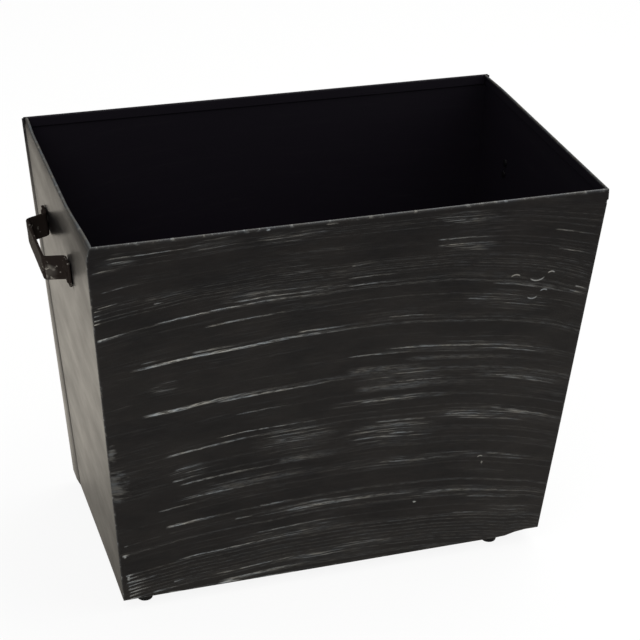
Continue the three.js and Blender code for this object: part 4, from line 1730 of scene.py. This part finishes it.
    def rivet(self, node: str, place: Matrix) -> Object:
        """Builds one rivet: a hammered dome outside and a set tail inside.

        Args:
            node: The rivet's node.
            place: Its frame on the wall's outside, Z inwards.

        Returns:
            The rivet.
        """
        under_head = self.seat + self.thickness
        tail = self.form.sheet
        tail_flat, tail_round = 0.55, 0.45  # shares of the tail's radius
        under_edge, head_edge = 0.0002, 0.00015
        tail_steps, head_steps = 8, 10
        outline = [(0.0, -tail - self.tail_height)]
        for step in range(tail_steps + 1):
            angle = math.pi / 2 * (step / tail_steps - 1)
            outline.append((self.tail_radius * tail_flat + self.tail_radius * tail_round * math.cos(angle),
                            -tail - self.tail_height / 2 + self.tail_height / 2 * math.sin(angle)))
        outline += [(self.tail_radius, -tail), (self.rivet_radius, -tail),
                    (self.rivet_radius, under_head - under_edge),
                    (self.head_radius - under_edge, under_head - under_edge)]
        for step in range(head_steps):
            angle = math.pi / 2 * step / head_steps
            outline.append((self.head_radius * math.cos(angle),
                            under_head + head_edge + (self.head_height - head_edge) * math.sin(angle)))
        outline.append((0.0, under_head + self.head_height))
        rivet = turned_piece(f"{node}_dome", outline, self.sides, place @ Matrix.Rotation(math.pi, 4, "X"))
        top = -(under_head + self.head_height)
        back = place.inverted()
        heights = [(back @ vert.co).z for vert in rivet.data.vertices]
        set_values(rivet.data, WEAR_AND_GLINT, [0.8 * max(0.0, 1 - abs(z - top) / self.rivet_reach) for z in heights])
        # the tail, inside the box, is marked to take the painted shade
        set_values(rivet.data, OUTSIDE, [float(z < tail / 2) for z in heights])
        return finish_piece(rivet, self.iron, node, sharp_angle=50)


@dataclass
class RubberFeet:
    """Four tapered rubber feet, each hollow from below, with the screw, washer and nut that hold it."""

    form: BoxForm
    rubber: Material
    zinc: Material
    top_radius: float = 0.0095
    bottom_radius: float = 0.0075
    edge_round: float = 0.0008
    lip: float = 0.0003  # the small bevels of the top and of the recess
    recess_radius: float = 0.0054
    recess_depth: float = 0.0065
    hole_radius: float = 0.0023
    from_left_end: float = 0.0245
    from_right_end: float = 0.045
    from_side: float = 0.0195
    fastener_bevel: float = 0.00012
    arc_steps: int = 8
    sides: int = 64

    def places(self) -> list[tuple[str, float, float]]:
        """The feet.

        Returns:
            Each as (name, X, Y) of its middle.
        """
        half_x, half_y = self.form.base_length / 2, self.form.base_depth / 2
        ends = (("left", -1, self.from_left_end), ("right", 1, self.from_right_end))
        return [(f"{side}_{end}_foot", towards_x * (half_x - from_end), towards_y * (half_y - self.from_side))
                for side, towards_y in (("front", -1), ("back", 1)) for end, towards_x, from_end in ends]

    def holes(self) -> list[tuple[Matrix, float]]:
        """The screws' holes in the floor, each as its frame and its radius."""
        floor = self.form.foot_height
        return [(Matrix.Translation((x, y, floor)), self.hole_radius) for _, x, y in self.places()]

    def outline(self) -> list[tuple[float, float]]:
        """The foot's section.

        Returns:
            Points as (radius, height), a closed loop.
        """
        top = self.form.foot_height - self.form.fit
        lip = self.lip
        angles = [math.pi / 2 * (k / self.arc_steps - 1) for k in range(self.arc_steps + 1)]
        low = [(self.bottom_radius - self.edge_round + self.edge_round * math.cos(angle),
                self.edge_round + self.edge_round * math.sin(angle)) for angle in angles]
        return [(self.recess_radius, lip), (self.recess_radius + lip, 0.0), *low,
                (self.top_radius - lip / 3, top - 2 * lip), (self.top_radius, top - lip),
                (self.top_radius - lip, top), (self.hole_radius, top), (self.hole_radius, self.recess_depth),
                (self.recess_radius, self.recess_depth)]

    def build(self, nodes: dict) -> list[Object]:
        """Builds the feet, and dresses their fasteners in the frame.

        Args:
            nodes: The frame's nodes by name.

        Returns:
            The feet.
        """
        feet = []
        for node, x, y in self.places():
            foot = turned_piece(f"{node}_rubber", self.outline(), self.sides, Matrix.Translation((x, y, 0)))
            feet.append(finish_piece(foot, self.rubber, node, sharp_angle=50))
            for part in ("washer", "screw", "nut"):
                fastener = nodes[f"{node}_{part}"]
                fastener.data.materials.clear()
                fastener.data.materials.append(self.zinc)
                bevel_edges(fastener, self.fastener_bevel, 40)
                log.info("%s: dressed in the frame", fastener.name)
        return feet


@dataclass
class Studio:
    """A pale floor, soft lamps and the camera."""

    paper: str = "#fafaf8"
    paper_glow: float = 0.90  # share of white that the camera sees in it
    mirrored_glow: float = 0.40  # the same in the paint's reflections, where the box's shadow must show
    mirrored_front: float = 0.28  # painted shade: how light the floor before the box looks in the paint
    mirrored_reach: float = 0.20  # how far before the middle it is that dark, and how far behind it is white
    mirrored_tint: str = "#fdf5e7"
    white: str = "#ffffff"
    black: str = "#000000"
    ambient: float = 0.35  # strength of the world's light
    floor_size: float = 12.0
    lamp_aim: float = 0.2  # height of the point that the lamps face

    def build(self) -> None:
        """Builds the floor, the lamps, the world and the camera."""
        self.lay_floor()
        self.hang_lamps()
        self.set_world()
        self.stand_camera()

    def lay_floor(self) -> None:
        """Lays the floor: paper that the camera sees nearly white, with the object's shadow.

        In the paint's reflections it is warm, and carries painted shade: darker before the box than beside and
        behind it.
        """
        mesh = bmesh.new()
        bmesh.ops.create_grid(mesh, x_segments=1, y_segments=1, size=self.floor_size / 2)
        floor = piece_from("paper_floor", mesh)
        material = bpy.data.materials.new("seamless_paper")
        material.use_nodes = True
        material.node_tree.nodes.clear()
        add = partial(add_node, material.node_tree)
        rays = add("LightPath")
        camera = rays.outputs["Is Camera Ray"]
        seen = add("Math", {0: camera, 1: rays.outputs["Is Glossy Ray"]}, operation="MAXIMUM")
        shown = add("Math", {0: seen, 1: rays.outputs["Is Transmission Ray"]}, operation="MAXIMUM")
        glow = add("Mix", {0: camera, 2: self.mirrored_glow, 3: self.paper_glow})
        share = add("Math", {0: shown, 1: glow}, operation="MULTIPLY")
        in_mirror = add("Math", {0: seen, 1: camera}, operation="SUBTRACT")
        place = add("NewGeometry")
        split = add("SeparateXYZ", {0: place.outputs["Position"]})
        # painted shade on the floor as the paint mirrors it: dark before the box, white behind it
        mirrored = add("MapRange", {0: split.outputs[1], 1: -self.mirrored_reach, 2: self.mirrored_reach,
                                    3: self.mirrored_front, 4: 1.0})
        strength = add("Mix", {0: camera, 2: mirrored, 3: 1.0})
        tint = linear(self.mirrored_tint)
        tone = add("Mix", {0: camera, MIX_A: tint, MIX_B: linear(self.white)}, data_type="RGBA")
        shade = add("Mix", {0: in_mirror, 2: 1.0, 3: mirrored})
        dyed = add("Mix", {0: in_mirror, MIX_A: linear(self.paper), MIX_B: tint}, data_type="RGBA")
        sheet = add("Mix", {0: shade, MIX_A: linear(self.black), MIX_B: dyed.outputs[MIXED]},
                    data_type="RGBA")
        matt = add("BsdfDiffuse", {"Color": sheet.outputs[MIXED]})
        white = add("Emission", {"Color": tone.outputs[MIXED], "Strength": strength})
        mixed = add("MixShader", {0: share, 1: matt, 2: white})
        add("OutputMaterial", {"Surface": mixed})
        floor.data.materials.append(material)

    def hang_lamps(self) -> None:
        """Hangs soft lamps: at the front left, a weaker one at the front right, the largest over the back."""
        for name, place, size, watts in (
            ("key_softbox", Vector((-1.2, -1.3, 2.2)), 1.6, 24.0),
            ("fill_softbox", Vector((1.8, -0.9, 1.6)), 1.8, 16.0),
            ("top_softbox", Vector((0.9, 0.5, 2.2)), 2.2, 42.0),
        ):
            lamp = bpy.data.lights.new(name, "AREA")
            lamp.shape = "SQUARE"
            lamp.size = size
            lamp.energy = watts
            holder = bpy.data.objects.new(name, lamp)
            holder.location = place
            aim = Vector((0, 0, self.lamp_aim)) - place
            holder.rotation_euler = aim.to_track_quat("-Z", "Y").to_euler()
            bpy.context.scene.collection.objects.link(holder)

    def set_world(self) -> None:
        """Sets a soft grey world that the camera sees as white."""
        world = bpy.data.worlds.new("studio_air")
        bpy.context.scene.world = world
        world.use_nodes = True
        world.node_tree.nodes.clear()
        add = partial(add_node, world.node_tree)
        rays = add("LightPath")
        ambient = add("Background", {"Color": linear(self.white), "Strength": self.ambient})
        white = add("Background", {"Color": linear(self.white), "Strength": 1.0})
        mixed = add("MixShader", {0: rays.outputs["Is Camera Ray"], 1: ambient, 2: white})
        add("OutputWorld", {"Surface": mixed})

    def stand_camera(self) -> None:
        """Stands the camera where the photograph was taken from."""
        azimuth, elevation, roll = -0.34295, 0.49933, 0.03581
        distance, slide, lift = 1.8873264, 0.0641464, -0.0033162
        focal_pixels = 1925.86
        axis_pixel = (370.0, 340.0)
        aim = Vector((0, 0, 0.2065))
        forward = Vector((-math.sin(azimuth) * math.cos(elevation), math.cos(azimuth) * math.cos(elevation),
                          -math.sin(elevation)))
        level = Vector((math.cos(azimuth), math.sin(azimuth), 0))
        upward = level.cross(forward)
        place = aim - distance * forward + slide * level + lift * upward
        right = math.cos(roll) * level + math.sin(roll) * upward
        top = math.cos(roll) * upward - math.sin(roll) * level
        matrix = Matrix((right, top, -forward)).transposed().to_4x4()
        matrix.translation = place
        camera = bpy.data.cameras.new("photo_camera")
        camera.lens = focal_pixels / PICTURE_PIXELS * camera.sensor_width
        camera.shift_x = (PICTURE_PIXELS / 2 - axis_pixel[0]) / PICTURE_PIXELS
        camera.shift_y = (axis_pixel[1] - PICTURE_PIXELS / 2) / PICTURE_PIXELS
        holder = bpy.data.objects.new("photo_camera", camera)
        holder.matrix_world = matrix
        bpy.context.scene.collection.objects.link(holder)
        bpy.context.scene.camera = holder


def main() -> None:
    """Builds the box and its studio, in order."""
    logging.basicConfig(level=logging.INFO, format="%(name)s: %(message)s")
    form = BoxForm()
    iron = HammeredIron().make("hammered_iron")
    front = DryBrushedPaint(0.0, FRONT_STROKES, FRONT_SWEEPS, FRONT_CURLS, FRONT_SMEARS,
                            loose=0.06, rubbed=0.11, rim_gloss=0.65)
    handles = {end: StrapHandle(form, end, iron) for end in End}
    holes = {handle.face: handle.holes() for handle in handles.values()}
    SheetWall(form, Face.FRONT, front.make("front_enamel")).build()
    for seed, face in enumerate((Face.BACK, Face.LEFT, Face.RIGHT), start=1):
        rubbed, nicks = EDGE_WEAR[face]
        paint = DryBrushedPaint(17.0 * seed, loose=0.2, rubbed=rubbed, nicks=nicks)
        SheetWall(form, face, paint.make(f"{face.node}_enamel"), holes.get(face, [])).build()
    feet = RubberFeet(form, MouldedRubber().make("moulded_rubber"), ZincPlate().make("zinc_plate"))
    FloorTray(form, DryBrushedPaint(91.0).make("floor_enamel")).build(feet.holes())
    for handle in handles.values():
        handle.build()
    feet.build(frame["nodes"])
    Studio().build()
    bpy.context.scene.view_settings.view_transform = "Standard"


if __name__ == "__main__":
    main()
